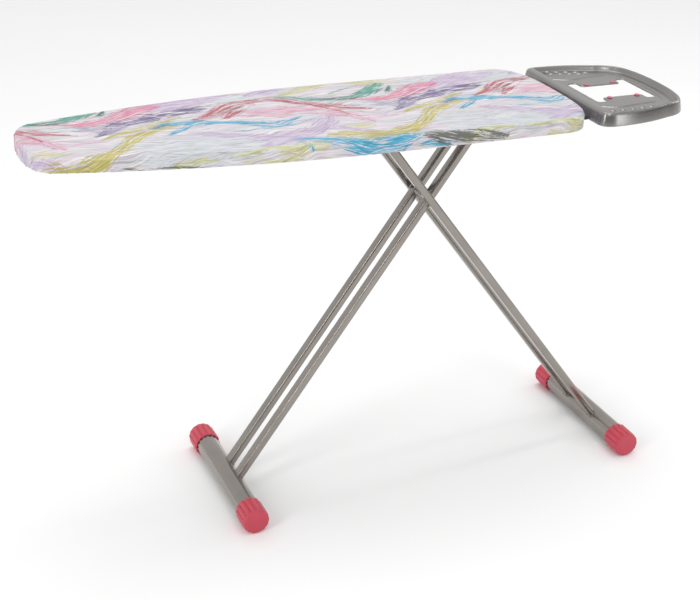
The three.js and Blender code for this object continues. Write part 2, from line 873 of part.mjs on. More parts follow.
// ---------- assembly ----------
const ironingBoard = new THREE.Group();
ironingBoard.add(coverPiece(), padPiece(), deckPiece(), ...channelPieces());
ironingBoard.add(hingeBracketPiece(), hingePinPiece(), hingeSpacerPiece(), ...rackPieces());
ironingBoard.add(leverBracketPiece(), leverPiece(), gripPiece(), leverPinPiece());
ironingBoard.add(leverSpringPiece());
ironingBoard.add(trayPiece(), ...studPieces(), ...strapPieces());
ironingBoard.add(...fastenerPieces());
ironingBoard.add(...hingeBushPieces());

const pivot = pivotPieces();
const pivotReach = outerY + legWidth / 4 + seat;

const innerLegs = new THREE.Group();
innerLegs.position.set(pivotX, 0, pivotHeight);
innerLegs.rotation.y = innerTilt;
innerLegs.add(
  ...legPieces(
    "inner",
    innerY,
    -innerFootReach,
    innerTilt,
    innerTopReach,
    rodRadius + rodClearance,
    pivotReach,
    innerY + legWidth / 4 + seat,
  ),
  pivot.sleeve,
);

const outerLegs = new THREE.Group();
outerLegs.position.set(pivotX, 0, pivotHeight);
outerLegs.rotation.y = outerTilt;
outerLegs.add(
  ...legPieces(
    "outer",
    outerY,
    outerFootReach,
    outerTilt,
    outerTopReach,
    barRadius + seat,
    pivotReach,
    barHalf,
  ),
  pivot.rod,
  ...pivot.washers,
);

const innerFoot = new THREE.Group();
innerFoot.position.set(innerFootX, 0, footZ);
innerFoot.add(footTubePiece("inner"), ...footCapPieces("inner"));

const outerFoot = new THREE.Group();
outerFoot.position.set(outerFootX, 0, footZ);
outerFoot.add(footTubePiece("outer"), ...footCapPieces("outer"));

const slider = new THREE.Group();
slider.position.set(barX, 0, hingeZ);
slider.add(...sliderPieces());

ironingBoard.add(innerLegs, outerLegs, innerFoot, outerFoot, slider);

export default ironingBoard;
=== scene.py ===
"""Folding ironing board: printed cover, iron rest and crossed twin-tube legs, around a fixed frame.

Sizes and places are in millimetres here and reach Blender in metres.
X runs from the rounded nose to the iron rest, Y across the board, Z up from the floor.
"""

import json
import math

import bmesh
import bpy
import numpy as np
from mathutils import Matrix, Vector
from mathutils.geometry import delaunay_2d_cdt


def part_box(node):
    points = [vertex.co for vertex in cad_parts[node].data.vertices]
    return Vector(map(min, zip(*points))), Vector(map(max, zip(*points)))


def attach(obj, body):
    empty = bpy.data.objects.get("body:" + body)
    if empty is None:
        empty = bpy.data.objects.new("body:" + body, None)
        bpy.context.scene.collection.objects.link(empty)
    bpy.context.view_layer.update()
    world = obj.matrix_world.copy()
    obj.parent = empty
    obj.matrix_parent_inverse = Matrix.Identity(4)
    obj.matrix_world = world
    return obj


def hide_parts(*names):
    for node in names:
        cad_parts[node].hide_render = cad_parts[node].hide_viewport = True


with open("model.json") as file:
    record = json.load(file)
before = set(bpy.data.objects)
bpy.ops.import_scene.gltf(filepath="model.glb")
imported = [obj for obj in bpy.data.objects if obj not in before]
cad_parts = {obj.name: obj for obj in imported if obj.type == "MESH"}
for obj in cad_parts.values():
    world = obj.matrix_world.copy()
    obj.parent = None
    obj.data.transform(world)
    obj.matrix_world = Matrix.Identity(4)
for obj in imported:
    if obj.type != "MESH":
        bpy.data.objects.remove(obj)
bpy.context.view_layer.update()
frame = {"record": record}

MM = 0.001
MERGE_DISTANCE = 4e-6
SHARP_ANGLE = 35.0
BODY_OF = {
    node: body
    for body, members in frame["record"]["behaviour"]["bodies"].items()
    for node in members
}


# ---------- places ----------
def place(node):
    low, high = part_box(node)
    return np.array(low) / MM, np.array(high) / MM


def centre(node):
    low, high = place(node)
    return (low + high) / 2


def radius_of(node):
    """Radius of a round piece that lies along Y."""
    low, high = place(node)
    return (high[2] - low[2]) / 2


# ---------- curves in the plane ----------
def full_turn(count):
    """Angles of count points round a circle."""
    return np.arange(count) / count * 2 * math.pi


def quarter(count):
    """Angles of count points over a quarter circle."""
    return np.linspace(0, math.pi / 2, count)


def bezier(*controls, steps=60):
    share = np.linspace(0, 1, steps + 1)[:, None]
    points = [np.array(c, float) + 0 * share for c in controls]
    while len(points) > 1:
        points = [a + (b - a) * share for a, b in zip(points, points[1:])]
    return points[0]


def joined(*parts):
    whole = np.vstack(parts)
    keep = np.r_[True, np.linalg.norm(np.diff(whole, axis=0), axis=1) > 1e-6]
    return whole[keep]


def resample(points, count, weight=None):
    """The same line with count points, set closer where weight(points) is high."""
    middle = (points[1:] + points[:-1]) / 2
    step = np.linalg.norm(np.diff(points, axis=0), axis=1)
    if weight is not None:
        step = step * weight(middle)
    reach = np.r_[0, np.cumsum(step)]
    at = np.linspace(0, reach[-1], count)
    return np.stack([np.interp(at, reach, points[:, k]) for k in range(points.shape[1])], 1)


def signed_area(loop):
    x, y = loop[:, 0], loop[:, 1]
    return np.sum(x * np.roll(y, -1) - np.roll(x, -1) * y) / 2


def inward_normals(loop):
    """Unit normals of a closed loop, pointing to its inside."""
    along = np.roll(loop, -1, 0) - np.roll(loop, 1, 0)
    along /= np.maximum(np.linalg.norm(along, axis=1, keepdims=True), 1e-9)
    turned = np.stack([-along[:, 1], along[:, 0]], 1)
    return turned * math.copysign(1, signed_area(loop))


def offset(loop, distance):
    return loop + inward_normals(loop) * distance


def soften(points, radius, steps=5, closed=True):
    """Rounds the corners of a polygon. radius is one number, or one for each corner."""
    points = np.array(points, float)
    count = len(points)
    radii = np.broadcast_to(radius, (count,))
    made = []
    for i in range(count):
        here = points[i]
        if not closed and i in (0, count - 1) or radii[i] <= 0:
            made.append(here[None])
            continue
        before, after = points[i - 1] - here, points[(i + 1) % count] - here
        reach_a, reach_b = np.linalg.norm(before), np.linalg.norm(after)
        a, b = before / reach_a, after / reach_b
        half = math.acos(max(-1, min(1, float(a @ b)))) / 2
        cut = min(radii[i] / math.tan(max(half, 0.05)), 0.48 * reach_a, 0.48 * reach_b)
        made.append(bezier(here + a * cut, here, here + b * cut, steps=steps))
    return joined(*made)


def dense(loop, spacing):
    """A closed loop with its long sides split to about this spacing."""
    made = []
    for a, b in zip(loop, np.roll(loop, -1, 0)):
        parts = max(1, round(np.linalg.norm(b - a) / spacing))
        made.append(a + (b - a) * np.linspace(0, 1, parts, endpoint=False)[:, None])
    return np.vstack(made)


def circle(x, y, radius, segments=16):
    turn = full_turn(segments)
    return np.stack([x + radius * np.cos(turn), y + radius * np.sin(turn)], 1)


def inside(points, loop):
    x, y = points[:, 0:1], points[:, 1:2]
    a, b = loop, np.roll(loop, -1, 0)
    crosses = (a[None, :, 1] > y) != (b[None, :, 1] > y)
    with np.errstate(divide="ignore", invalid="ignore"):
        at = a[None, :, 0] + (y - a[None, :, 1]) / (b - a)[None, :, 1] * (b - a)[None, :, 0]
    return (np.sum(crosses & (x < at), axis=1) % 2) == 1


def fill(outer, holes=(), extra=None):
    """Triangles covering the inside of outer but not the holes: (points, faces)."""
    loops = [outer, *holes]
    points = np.vstack(loops + ([extra] if extra is not None and len(extra) else []))
    edges, start = [], 0
    for loop in loops:
        count = len(loop)
        edges += [(start + i, start + (i + 1) % count) for i in range(count)]
        start += count
    found = delaunay_2d_cdt([Vector(p) for p in points], edges, [], 1, 1e-5)
    flat, faces = np.array([tuple(p) for p in found[0]]), np.array(found[2])
    middle = flat[faces].mean(1)
    keep = inside(middle, outer)
    for hole in holes:
        near = np.linalg.norm(middle - hole.mean(0), axis=1) < np.ptp(hole, axis=0).max()
        keep[near] &= ~inside(middle[near], hole)
    return flat, faces[keep]


# ---------- meshes ----------
class Body:
    """Collects vertices and faces, in millimetres, and turns them into one object."""

    def __init__(self):
        self.verts, self.faces, self.count = [], [], 0

    def add(self, verts, faces):
        self.verts.append(np.asarray(verts, float))
        self.faces += [tuple(int(i) + self.count for i in face) for face in faces]
        self.count += len(verts)
        return self

    def grid(self, rows):
        """Joins closed rows of points, all of one length."""
        rows = np.asarray(rows, float)
        height, width = rows.shape[:2]
        faces = []
        for r in range(height - 1):
            for c in range(width):
                d = (c + 1) % width
                faces.append((r * width + c, r * width + d, (r + 1) * width + d, (r + 1) * width + c))
        return self.add(rows.reshape(-1, 3), faces)

    def mesh(self, name, sharp=SHARP_ANGLE):
        data = bpy.data.meshes.new(name)
        data.from_pydata((np.vstack(self.verts) * MM).tolist(), [], self.faces)
        work = bmesh.new()
        work.from_mesh(data)
        bmesh.ops.remove_doubles(work, verts=work.verts, dist=MERGE_DISTANCE)
        bmesh.ops.dissolve_degenerate(work, dist=1e-7, edges=work.edges)
        bmesh.ops.recalc_face_normals(work, faces=work.faces)
        if all(edge.is_manifold for edge in work.edges) and work.calc_volume(signed=True) < 0:
            bmesh.ops.reverse_faces(work, faces=work.faces)
        work.to_mesh(data)
        work.free()
        smooth(data, sharp)
        made = bpy.data.objects.new(name, data)
        bpy.context.scene.collection.objects.link(made)
        return made


def smooth(data, sharp):
    data.shade_smooth()
    data.set_sharp_from_angle(angle=math.radians(sharp))


def run_modifier(obj, kind, **settings):
    modifier = obj.modifiers.new(kind, kind)
    for key, value in settings.items():
        setattr(modifier, key, value)
    graph = bpy.context.evaluated_depsgraph_get()
    data = bpy.data.meshes.new_from_object(obj.evaluated_get(graph))
    obj.modifiers.clear()
    obj.data = data
    return obj


def finish_piece(obj, slot, body, *nodes):
    obj.data.materials.clear()
    obj.data.materials.append(FINISH[slot])
    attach(obj, body)
    if nodes:
        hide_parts(*nodes)
    return obj


def stand_for(obj, slot, node):
    return finish_piece(obj, slot, BODY_OF[node], node)


def turned(name, profile, middle, segments=64):
    """A piece turned about Y. profile holds (radius, y) points, closed or ending on the axis."""
    profile = np.asarray(profile, float)
    turn = full_turn(segments)
    x, _, z = middle
    rows = [
        np.stack([x + r * np.cos(turn), 0 * turn + y, z + r * np.sin(turn)], 1)
        for r, y in profile
    ]
    if profile[0][0] > 0:
        rows.append(rows[0])
    return Body().grid(rows).mesh(name)


def rod_profile(radius, low, high, edge):
    return soften([(0, low), (radius, low), (radius, high), (0, high)], edge, 4, closed=False)


def ring_profile(outer, inner, low, high, edge):
    return soften([(inner, low), (outer, low), (outer, high), (inner, high)], edge, 4)


def rings_z(profile, x, y, segments):
    """Rings round a vertical axis, one for each (radius, z) point. An open profile is closed."""
    turn = full_turn(segments)
    rows = [
        np.column_stack([x + r * np.cos(turn), y + r * np.sin(turn), 0 * turn + z])
        for r, z in np.asarray(profile, float)
    ]
    if profile[0][0] > 0:
        rows.append(rows[0])
    return rows


def turned_z(name, profile, x, y, segments):
    return Body().grid(rings_z(profile, x, y, segments)).mesh(name)


def rounded_box(x0, y0, x1, y1, radius, steps):
    return soften([(x0, y0), (x1, y0), (x1, y1), (x0, y1)], radius, steps)


def u_outline(low, high, wall, outer_radius, inner_radius, end_radius):
    """Section in YZ of sheet steel bent into a U that opens downwards."""
    y0, y1, z0, z1 = low[1], high[1], low[2], high[2]
    outer = [(y1, z0), (y1, z1), (y0, z1), (y0, z0)]
    inner = [(y0 + wall, z0), (y0 + wall, z1 - wall), (y1 - wall, z1 - wall), (y1 - wall, z0)]
    radii = [end_radius, outer_radius, outer_radius, end_radius]
    radii += [end_radius, inner_radius, inner_radius, end_radius]
    return soften(outer + inner, radii, 4)


def as_xyz(flat, level, axis):
    """Plane points to space: the plane is XY for axis Z, and XZ for axis Y, YZ for axis X."""
    level = np.broadcast_to(level, (len(flat),))
    if axis == "Z":
        return np.column_stack([flat, level])
    if axis == "Y":
        return np.column_stack([flat[:, 0], level, flat[:, 1]])
    return np.column_stack([level, flat])


def plate(body, outer, low, high, axis="Z", edge=0.3, holes=()):
    """A flat plate between two levels, with softened edges and holes."""
    rims = [(outer, edge)] + [(hole, -edge) for hole in holes]
    inset = [offset(loop, inward) for loop, inward in rims]
    for (loop, _), inner in zip(rims, inset):
        rows = [
            as_xyz(inner, low, axis),
            as_xyz(loop, low + edge, axis),
            as_xyz(loop, high - edge, axis),
            as_xyz(inner, high, axis),
        ]
        body.grid(rows)
    flat, faces = fill(inset[0], inset[1:])
    body.add(as_xyz(flat, low, axis), faces)
    body.add(as_xyz(flat, high, axis), faces)
    return body


def tube_along(body, path, radii, segments=12, closed=False):
    """A round section carried along a line of points."""
    path = np.asarray(path, float)
    radii = np.broadcast_to(radii, (len(path),))
    if closed:
        along = np.roll(path, -1, 0) - np.roll(path, 1, 0)
    else:
        along = np.gradient(path, axis=0)
    along /= np.linalg.norm(along, axis=1, keepdims=True)
    side = np.cross(along[0], (0.31, 0.87, 0.38))
    rows = []
    for here, forward, radius in zip(path, along, radii):
        side = side - forward * (side @ forward)
        side /= np.linalg.norm(side)
        up = np.cross(forward, side)
        turn = full_turn(segments)[:, None]
        rows.append(here + radius * (np.cos(turn) * side + np.sin(turn) * up))
    if closed:
        body.grid(rows + [rows[0]])
    else:
        ends = [np.repeat(path[:1], segments, 0), np.repeat(path[-1:], segments, 0)]
        body.grid([ends[0], *rows, ends[1]])
    return body


def drill(obj, axis, point, radius, reach):
    """Bores a round hole through obj along the Y or Z axis."""
    bpy.ops.mesh.primitive_cylinder_add(
        vertices=32, radius=radius * MM, depth=2 * reach * MM, location=np.array(point) * MM
    )
    cutter = bpy.context.object
    if axis == "Y":
        cutter.rotation_euler = (math.pi / 2, 0, 0)
    bpy.context.view_layer.update()
    run_modifier(obj, "BOOLEAN", operation="DIFFERENCE", object=cutter, solver="EXACT")
    bpy.data.objects.remove(cutter)
    smooth(obj.data, SHARP_ANGLE)
    return obj


# ---------- shader nodes ----------
def linear(red, green, blue):
    """An 8-bit screen colour as the linear colour that shaders use."""
    values = [c / 255 for c in (red, green, blue)]
    return (*[v / 12.92 if v <= 0.04045 else ((v + 0.055) / 1.055) ** 2.4 for v in values], 1.0)


def scaled(colour, factor):
    return tuple(min(1.0, c * factor) for c in colour[:3]) + (1.0,)


class Tree:
    """A node tree, with short calls for the nodes that the materials share."""

    def __init__(self, tree):
        self.tree = tree

    def position(self):
        return self.node("ShaderNodeTexCoord").outputs["Object"]

    def node(self, kind, inputs=None, **settings):
        made = self.tree.nodes.new(kind)
        for key, value in settings.items():
            setattr(made, key, value)
        self.feed(made, inputs or {})
        return made

    def feed(self, node, inputs):
        """Links the sockets in inputs to a node and sets the plain values."""
        for key, value in inputs.items():
            if isinstance(value, bpy.types.NodeSocket):
                self.tree.links.new(value, node.inputs[key])
            else:
                node.inputs[key].default_value = value

    def math(self, operation, a, b=0.0, c=0.0, clamp=False):
        made = self.node("ShaderNodeMath", {0: a, 1: b, 2: c}, operation=operation)
        made.use_clamp = clamp
        return made.outputs[0]

    def mix(self, share, a, b):
        return self.node("ShaderNodeMix", {0: share, 6: a, 7: b}, data_type="RGBA").outputs[2]

    def between(self, value, low, high, to_low=0.0, to_high=1.0):
        made = self.node(
            "ShaderNodeMapRange",
            {"Value": value, "From Min": low, "From Max": high, "To Min": to_low, "To Max": to_high},
            interpolation_type="SMOOTHSTEP",
        )
        return made.outputs[0]

    def noise(self, vector, scale, detail=2.0, roughness=0.5, warp=0.0):
        inputs = {"Vector": vector, "Scale": scale, "Detail": detail}
        inputs.update({"Roughness": roughness, "Distortion": warp})
        return self.node("ShaderNodeTexNoise", inputs).outputs[0]

    def stretched(self, vector, x, y, z):
        return self.node("ShaderNodeMapping", {"Vector": vector, "Scale": (x, y, z)}).outputs[0]

    def bump(self, height, distance, strength=1.0, normal=None):
        inputs = {"Height": height, "Distance": distance, "Strength": strength}
        if normal is not None:
            inputs["Normal"] = normal
        return self.node("ShaderNodeBump", inputs).outputs[0]


def new_material(name):
    made = bpy.data.materials.new(name)
    made.use_nodes = True
    tree = Tree(made.node_tree)
    return made, tree, made.node_tree.nodes["Principled BSDF"]


def metallic_paint(name, colour, roughness, metallic, grain=520.0, coat=0.2):
    """Sprayed metallic paint: fine flakes, a faint orange peel and slow changes of shade."""
    made, tree, shader = new_material(name)
    at = tree.position()
    cloud = tree.noise(at, 11.0, 3.0)
    flake = tree.noise(at, 2400.0, 1.0)
    peel = tree.noise(at, grain, 2.0, 0.45)
    deep = scaled(colour, 0.94)
    light = scaled(colour, 1.06)
    bright = scaled(colour, 1.5)
    shade = tree.mix(tree.between(cloud, 0.3, 0.7), deep, light)
    sparkle = tree.mix(tree.between(flake, 0.56, 0.74, 0.0, 0.16), shade, bright)
    tree.feed(shader, {
        "Base Color": sparkle,
        "Metallic": metallic,
        "Roughness": tree.between(cloud, 0.3, 0.7, roughness - 0.02, roughness + 0.03),
        "Coat Weight": coat,
        "Coat Roughness": 0.16,
        "Normal": tree.bump(peel, 0.00002, 0.02),
    })
    return made


def plated_steel(name, colour, roughness, stretch):
    """Zinc plate: fine drawn lines with cloudy spangle."""
    made, tree, shader = new_material(name)
    at = tree.position()
    lines = tree.noise(tree.stretched(at, *stretch), 1.0, 3.0)
    cloud = tree.noise(at, 60.0, 4.0, 0.6)
    deep = scaled(colour, 0.72)
    shade = tree.mix(tree.between(cloud, 0.3, 0.7), deep, colour)
    tree.feed(shader, {
        "Base Color": shade,
        "Metallic": 0.92,
        "Roughness": tree.between(lines, 0.3, 0.7, roughness - 0.09, roughness + 0.12),
        "Normal": tree.bump(lines, 0.00006, 0.3),
    })
    return made


def moulded(name, colour, roughness, soft=0.0, speck=900.0):
    """Moulded plastic or rubber: fine grain and slight shade changes."""
    made, tree, shader = new_material(name)
    at = tree.position()
    cloud = tree.noise(at, 42.0, 4.0, 0.55)
    grain = tree.noise(at, speck, 2.0)
    deep = scaled(colour, 0.94)
    light = scaled(colour, 1.04)
    shade = tree.mix(tree.between(cloud, 0.3, 0.7), deep, light)
    tree.feed(shader, {
        "Base Color": shade,
        "Roughness": tree.between(cloud, 0.25, 0.75, roughness - 0.04, roughness + 0.05),
        "Subsurface Weight": soft,
        "Subsurface Radius": (0.004, 0.0015, 0.0012),
        "Subsurface Scale": 0.5,
        "Normal": tree.bump(grain, 0.00005, 0.25),
    })
    return made


def powder_coat(name, colour, roughness):
    made, tree, shader = new_material(name)
    at = tree.position()
    peel = tree.noise(at, 900.0, 2.0)
    cloud = tree.noise(at, 16.0, 4.0, 0.6)
    dust = tree.noise(at, 190.0, 5.0, 0.7)
    deep = scaled(colour, 0.8)
    shade = tree.mix(tree.between(cloud, 0.3, 0.7), deep, colour)
    marked = tree.mix(tree.between(dust, 0.6, 0.8, 0.0, 0.3), shade, linear(205, 203, 198))
    tree.feed(shader, {
        "Base Color": marked,
        "Metallic": 0.25,
        "Roughness": tree.between(dust, 0.3, 0.7, roughness - 0.05, roughness + 0.08),
        "Normal": tree.bump(peel, 0.00015, 0.4),
    })
    return made


def foam():
    made, tree, shader = new_material("foam")
    at = tree.position()
    cells = tree.node(
        "ShaderNodeTexVoronoi", {"Vector": at, "Scale": 700.0, "Randomness": 1.0}
    ).outputs["Distance"]
    cloud = tree.noise(at, 35.0, 3.0)
    shade = tree.mix(tree.between(cloud, 0.3, 0.7), linear(224, 214, 180), linear(240, 233, 208))
    # Painted shade: the foam is coloured darker in the bottoms of its pits, the same cells that the bump
    # below sinks.
    pit_shaded = tree.mix(tree.between(cells, 0.1, 0.5), linear(190, 178, 140), shade)
    pits = tree.bump(cells, 0.0006, 0.7)
    tree.feed(shader, {"Base Color": pit_shaded, "Roughness": 0.95, "Normal": pits})
    return made


# ---------- the print ----------
# The print repeats along the cloth, turned a little against the board.
REPEAT_X = 640.0
REPEAT_Y = -12.0
BRUSH_SPREAD = 1.55

# Each colour: tint, how dry the brush is, opacity, and its strokes.
# A stroke is a line of (x, y, half width) points.
PRINT = {
    "mist": (
        (201, 209, 213), 0.45, 0.7,
        [
            [
                (-560, -70, 10), (-500, -100, 34), (-430, -118, 44), (-360, -122, 44), (-290, -135, 30),
                (-220, -150, 12),
            ],
            [(-520, -150, 14), (-430, -165, 26), (-340, -160, 26), (-240, -165, 12)],
            [(-60, 40, 8), (0, 30, 14), (60, 20, 10)],
            [(-330, 135, 8), (-250, 140, 26), (-180, 150, 10)],
            [(130, 150, 8), (180, 140, 22), (240, 160, 12)],
        ],
    ),
    "lilac": (
        (197, 178, 207), 0.6, 0.85,
        [
            [(-480, 112, 8), (-430, 122, 22), (-380, 132, 30), (-330, 146, 26), (-270, 166, 12)],
            [(-215, 150, 6), (-180, 166, 18), (-140, 176, 10)],
            [
                (-400, -45, 6), (-360, -66, 12), (-315, -88, 14), (-275, -112, 20), (-235, -126, 24),
                (-190, -118, 20), (-150, -92, 22), (-115, -55, 20), (-95, -25, 8),
            ],
            [(205, 128, 6), (235, 134, 15), (270, 146, 20), (300, 166, 14), (330, 184, 6)],
            [(250, 92, 5), (280, 108, 14), (305, 118, 5)],
            [(-735, -90, 10), (-700, -120, 14), (-670, -150, 6)],
            [(355, -170, 5), (385, -158, 16), (420, -148, 18), (455, -150, 10)],
        ],
    ),
    "soft_pink": (
        (221, 165, 186), 0.75, 0.85,
        [
            [
                (-270, 20, 5), (-235, 32, 16), (-195, 30, 26), (-150, 32, 22), (-107, 14, 18),
                (-72, -6, 15), (-46, -30, 13), (-32, -58, 11), (-20, -78, 4),
            ],
            [(-262, 46, 2), (-223, 55, 4), (-190, 60, 3), (-159, 53, 4), (-119, 41, 3)],
            [(-50, -56, 3), (-15, -62, 6), (25, -56, 4), (60, -60, 2)],
            [(-110, -12, 3), (-70, -30, 8), (-30, -32, 4), (20, -40, 2)],
        ],
    ),
    "pink": (
        (217, 131, 160), 1.0, 0.92,
        [
            [
                (-8, 62, 4), (25, 54, 12), (60, 54, 15), (95, 64, 16), (130, 82, 18), (160, 102, 24),
                (190, 116, 22), (215, 122, 8),
            ],
        ],
    ),
    "yellow": (
        (205, 203, 140), 0.85, 0.8,
        [
            [
                (-139, 134, 8), (-99, 150, 12), (-67, 168, 12), (-30, 182, 9), (10, 186, 7),
                (45, 172, 10), (85, 163, 14), (117, 156, 9), (140, 148, 3),
            ],
            [(-500, -196, 5), (-459, -184, 12), (-425, -174, 8), (-390, -178, 3)],
            [(-360, -175, 2), (-320, -176, 5), (-285, -172, 4), (-247, -180, 13), (-215, -178, 6)],
            [(380, -196, 6), (410, -200, 14), (440, -188, 16), (470, -190, 12)],
            [(340, -214, 5), (375, -218, 9), (410, -214, 8)],
            [(-30, -104, 2), (-59, -96, 13), (-82, -92, 5)],
            [(-300, -198, 4), (-260, -206, 7), (-220, -204, 4)],
        ],
    ),
    "mustard": (
        (194, 183, 90), 1.1, 0.92,
        [
            [
                (-135, -134, 6), (-115, -140, 14), (-79, -146, 20), (-39, -157, 22), (1, -156, 19),
                (41, -142, 16), (73, -118, 13), (101, -87, 12), (125, -56, 14), (150, -39, 11),
                (181, -23, 8), (205, -11, 7), (235, 0, 3),
            ],
            [
                (60, -50, 3), (80, -36, 5), (109, -23, 6), (141, -7, 8), (173, 9, 9), (205, 26, 7),
                (245, 43, 3),
            ],
            [(-120, -168, 3), (-85, -176, 6), (-45, -172, 4)],
        ],
    ),
    "violet": (
        (113, 98, 145), 1.25, 0.95,
        [
            [
                (85, 12, 4), (101, 26, 13), (125, 34, 15), (150, 42, 14), (181, 53, 16), (221, 68, 18),
                (255, 73, 18), (285, 77, 16), (305, 82, 4),
            ],
            [(58, -24, 4), (80, -8, 9), (100, 4, 8), (120, 20, 3)],
        ],
    ),
    "plum_wash": (
        (160, 152, 178), 0.75, 0.7,
        [
            [(25, 44, 3), (45, 22, 8), (65, 8, 12), (90, 0, 14), (115, 10, 6)],
            [(20, 20, 2), (45, 12, 5), (70, 22, 5), (95, 34, 3)],
            [(290, 84, 3), (320, 96, 4), (350, 104, 2)],
        ],
    ),
    "brick": (
        (184, 84, 97), 1.2, 0.95,
        [
            [
                (-370, 31, 3), (-339, 47, 6), (-315, 66, 10), (-287, 92, 12), (-259, 107, 9),
                (-219, 110, 8), (-187, 117, 9), (-162, 108, 10), (-139, 92, 11), (-115, 69, 11),
                (-87, 45, 12), (-62, 27, 13), (-35, 13, 7), (-3, 1, 4), (20, -8, 2),
            ],
            [(-306, 26, 4), (-290, 43, 12), (-267, 65, 11), (-240, 83, 5), (-222, 90, 2)],
            [(-352, 24, 1), (-325, 38, 3), (-300, 56, 3)],
            [(-90, 58, 3), (-50, 40, 5), (-10, 22, 2)],
            [(-75, 18, 4), (-62, -2, 6), (-52, -22, 2)],
        ],
    ),
    "teal": (
        (82, 156, 143), 1.15, 0.95,
        [
            [
                (-155, 119, 5), (-125, 110, 8), (-99, 93, 11), (-59, 80, 11), (-11, 78, 11),
                (25, 92, 13), (50, 112, 18), (72, 130, 17), (92, 148, 5),
            ],
            [(-40, 116, 2), (-5, 133, 3), (40, 150, 1)],
            [(112, 128, 3), (100, 110, 6), (88, 92, 3)],
        ],
    ),
    "blue": (
        (58, 168, 202), 1.1, 0.97,
        [
            [
                (-455, 2, 3), (-440, 14, 9), (-403, 20, 12), (-379, 14, 13), (-339, 3, 11),
                (-299, -11, 10), (-267, -23, 13), (-239, -37, 17), (-217, -44, 15), (-197, -35, 9),
                (-179, -25, 6), (-152, -9, 2),
            ],
            [(-448, -46, 3), (-427, -31, 8), (-403, -14, 6), (-390, -4, 2)],
            [
                (-330, -54, 1.5), (-299, -61, 3), (-259, -62, 3), (-219, -63, 3), (-187, -55, 3),
                (-159, -43, 2.5), (-113, -20, 1.5),
            ],
            [
                (-208, -140, 2), (-190, -147, 8), (-163, -158, 13), (-139, -170, 17), (-100, -186, 20),
                (-60, -197, 21), (-20, -197, 20), (18, -188, 14), (50, -177, 4),
            ],
            [(-216, -138, 2), (-206, -165, 4), (-196, -190, 3)],
            [(40, -206, 3), (70, -205, 6), (100, -212, 3)],
        ],
    ),
    "ink": (
        (88, 92, 78), 1.7, 0.9,
        [
            [
                (25, -178, 3), (48, -177, 9), (73, -183, 13), (101, -193, 15), (140, -203, 11),
                (180, -208, 9), (225, -214, 4),
            ],
            [(120, -185, 2), (155, -188, 5), (195, -200, 6), (235, -206, 3)],
            [(-62, 86, 1), (-30, 72, 5), (0, 72, 4), (25, 84, 1)],
            [(-470, 2, 2), (-450, 8, 6), (-430, 16, 2)],
            [(255, 84, 1), (290, 92, 2.5), (320, 98, 1)],
            [(104, 118, 2), (92, 102, 3), (110, 88, 1)],
            [(-330, 44, 1), (-290, 60, 2), (-255, 88, 1.5), (-230, 96, 1)],
        ],
    ),
}


def fine_line(points, spacing=5.0):
    """A Catmull-Rom curve through the points of a stroke."""
    points = np.array(points, float)
    ends = np.vstack([2 * points[0] - points[1], points, 2 * points[-1] - points[-2]])
    made = []
    for p0, p1, p2, p3 in zip(ends, ends[1:], ends[2:], ends[3:]):
        steps = max(2, int(np.linalg.norm(p2[:2] - p1[:2]) / spacing))
        t = np.linspace(0, 1, steps, endpoint=False)[:, None]
        made.append(
            0.5 * (
                2 * p1 + (p2 - p0) * t
                + (2 * p0 - 5 * p1 + 4 * p2 - p3) * t**2
                + (3 * p1 - p0 - 3 * p2 + p3) * t**3
            )
        )
    return np.vstack([*made, points[-1:]])


def brush_field(at, strokes):
    """For each point of the cloth: place along and across its stroke, and how much paint is there."""
    field = np.zeros((len(at), 3))
    for number, stroke in enumerate(strokes):
        line = fine_line(stroke)
        reach = np.r_[0, np.cumsum(np.linalg.norm(np.diff(line[:, :2], axis=0), axis=1))]
        margin = line[:, 2].max() * BRUSH_SPREAD + 4
        for copy in range(-2, 3):
            shift = np.array([REPEAT_X, REPEAT_Y]) * copy
            path = line[:, :2] + shift
            low, high = path.min(0) - margin, path.max(0) + margin
            near = np.flatnonzero(((at > low) & (at < high)).all(1))
            if not len(near):
                continue
            away = at[near, None, :] - path[None]
            gap = np.linalg.norm(away, axis=2)
            first = np.clip(np.argmin(gap, 1), 1, len(path) - 2)
            along = path[first + 1] - path[first - 1]
            along /= np.linalg.norm(along, axis=1, keepdims=True)
            rest = at[near] - path[first]
            forward = np.sum(rest * along, 1)
            across = rest[:, 0] * -along[:, 1] + rest[:, 1] * along[:, 0]
            width = np.maximum(line[first, 2], 0.5) * BRUSH_SPREAD
            past = np.maximum(0, np.minimum(gap.min(1), 99) ** 2 - across**2) ** 0.5
            paint = 1 - (across**2 + past**2) / width**2
            better = paint > field[near, 2]
            chosen = near[better]
            field[chosen, 0] = (reach[first] + forward)[better] + 171.0 * number
            field[chosen, 1] = across[better] + 37.0 * number
            field[chosen, 2] = paint[better]
    return field


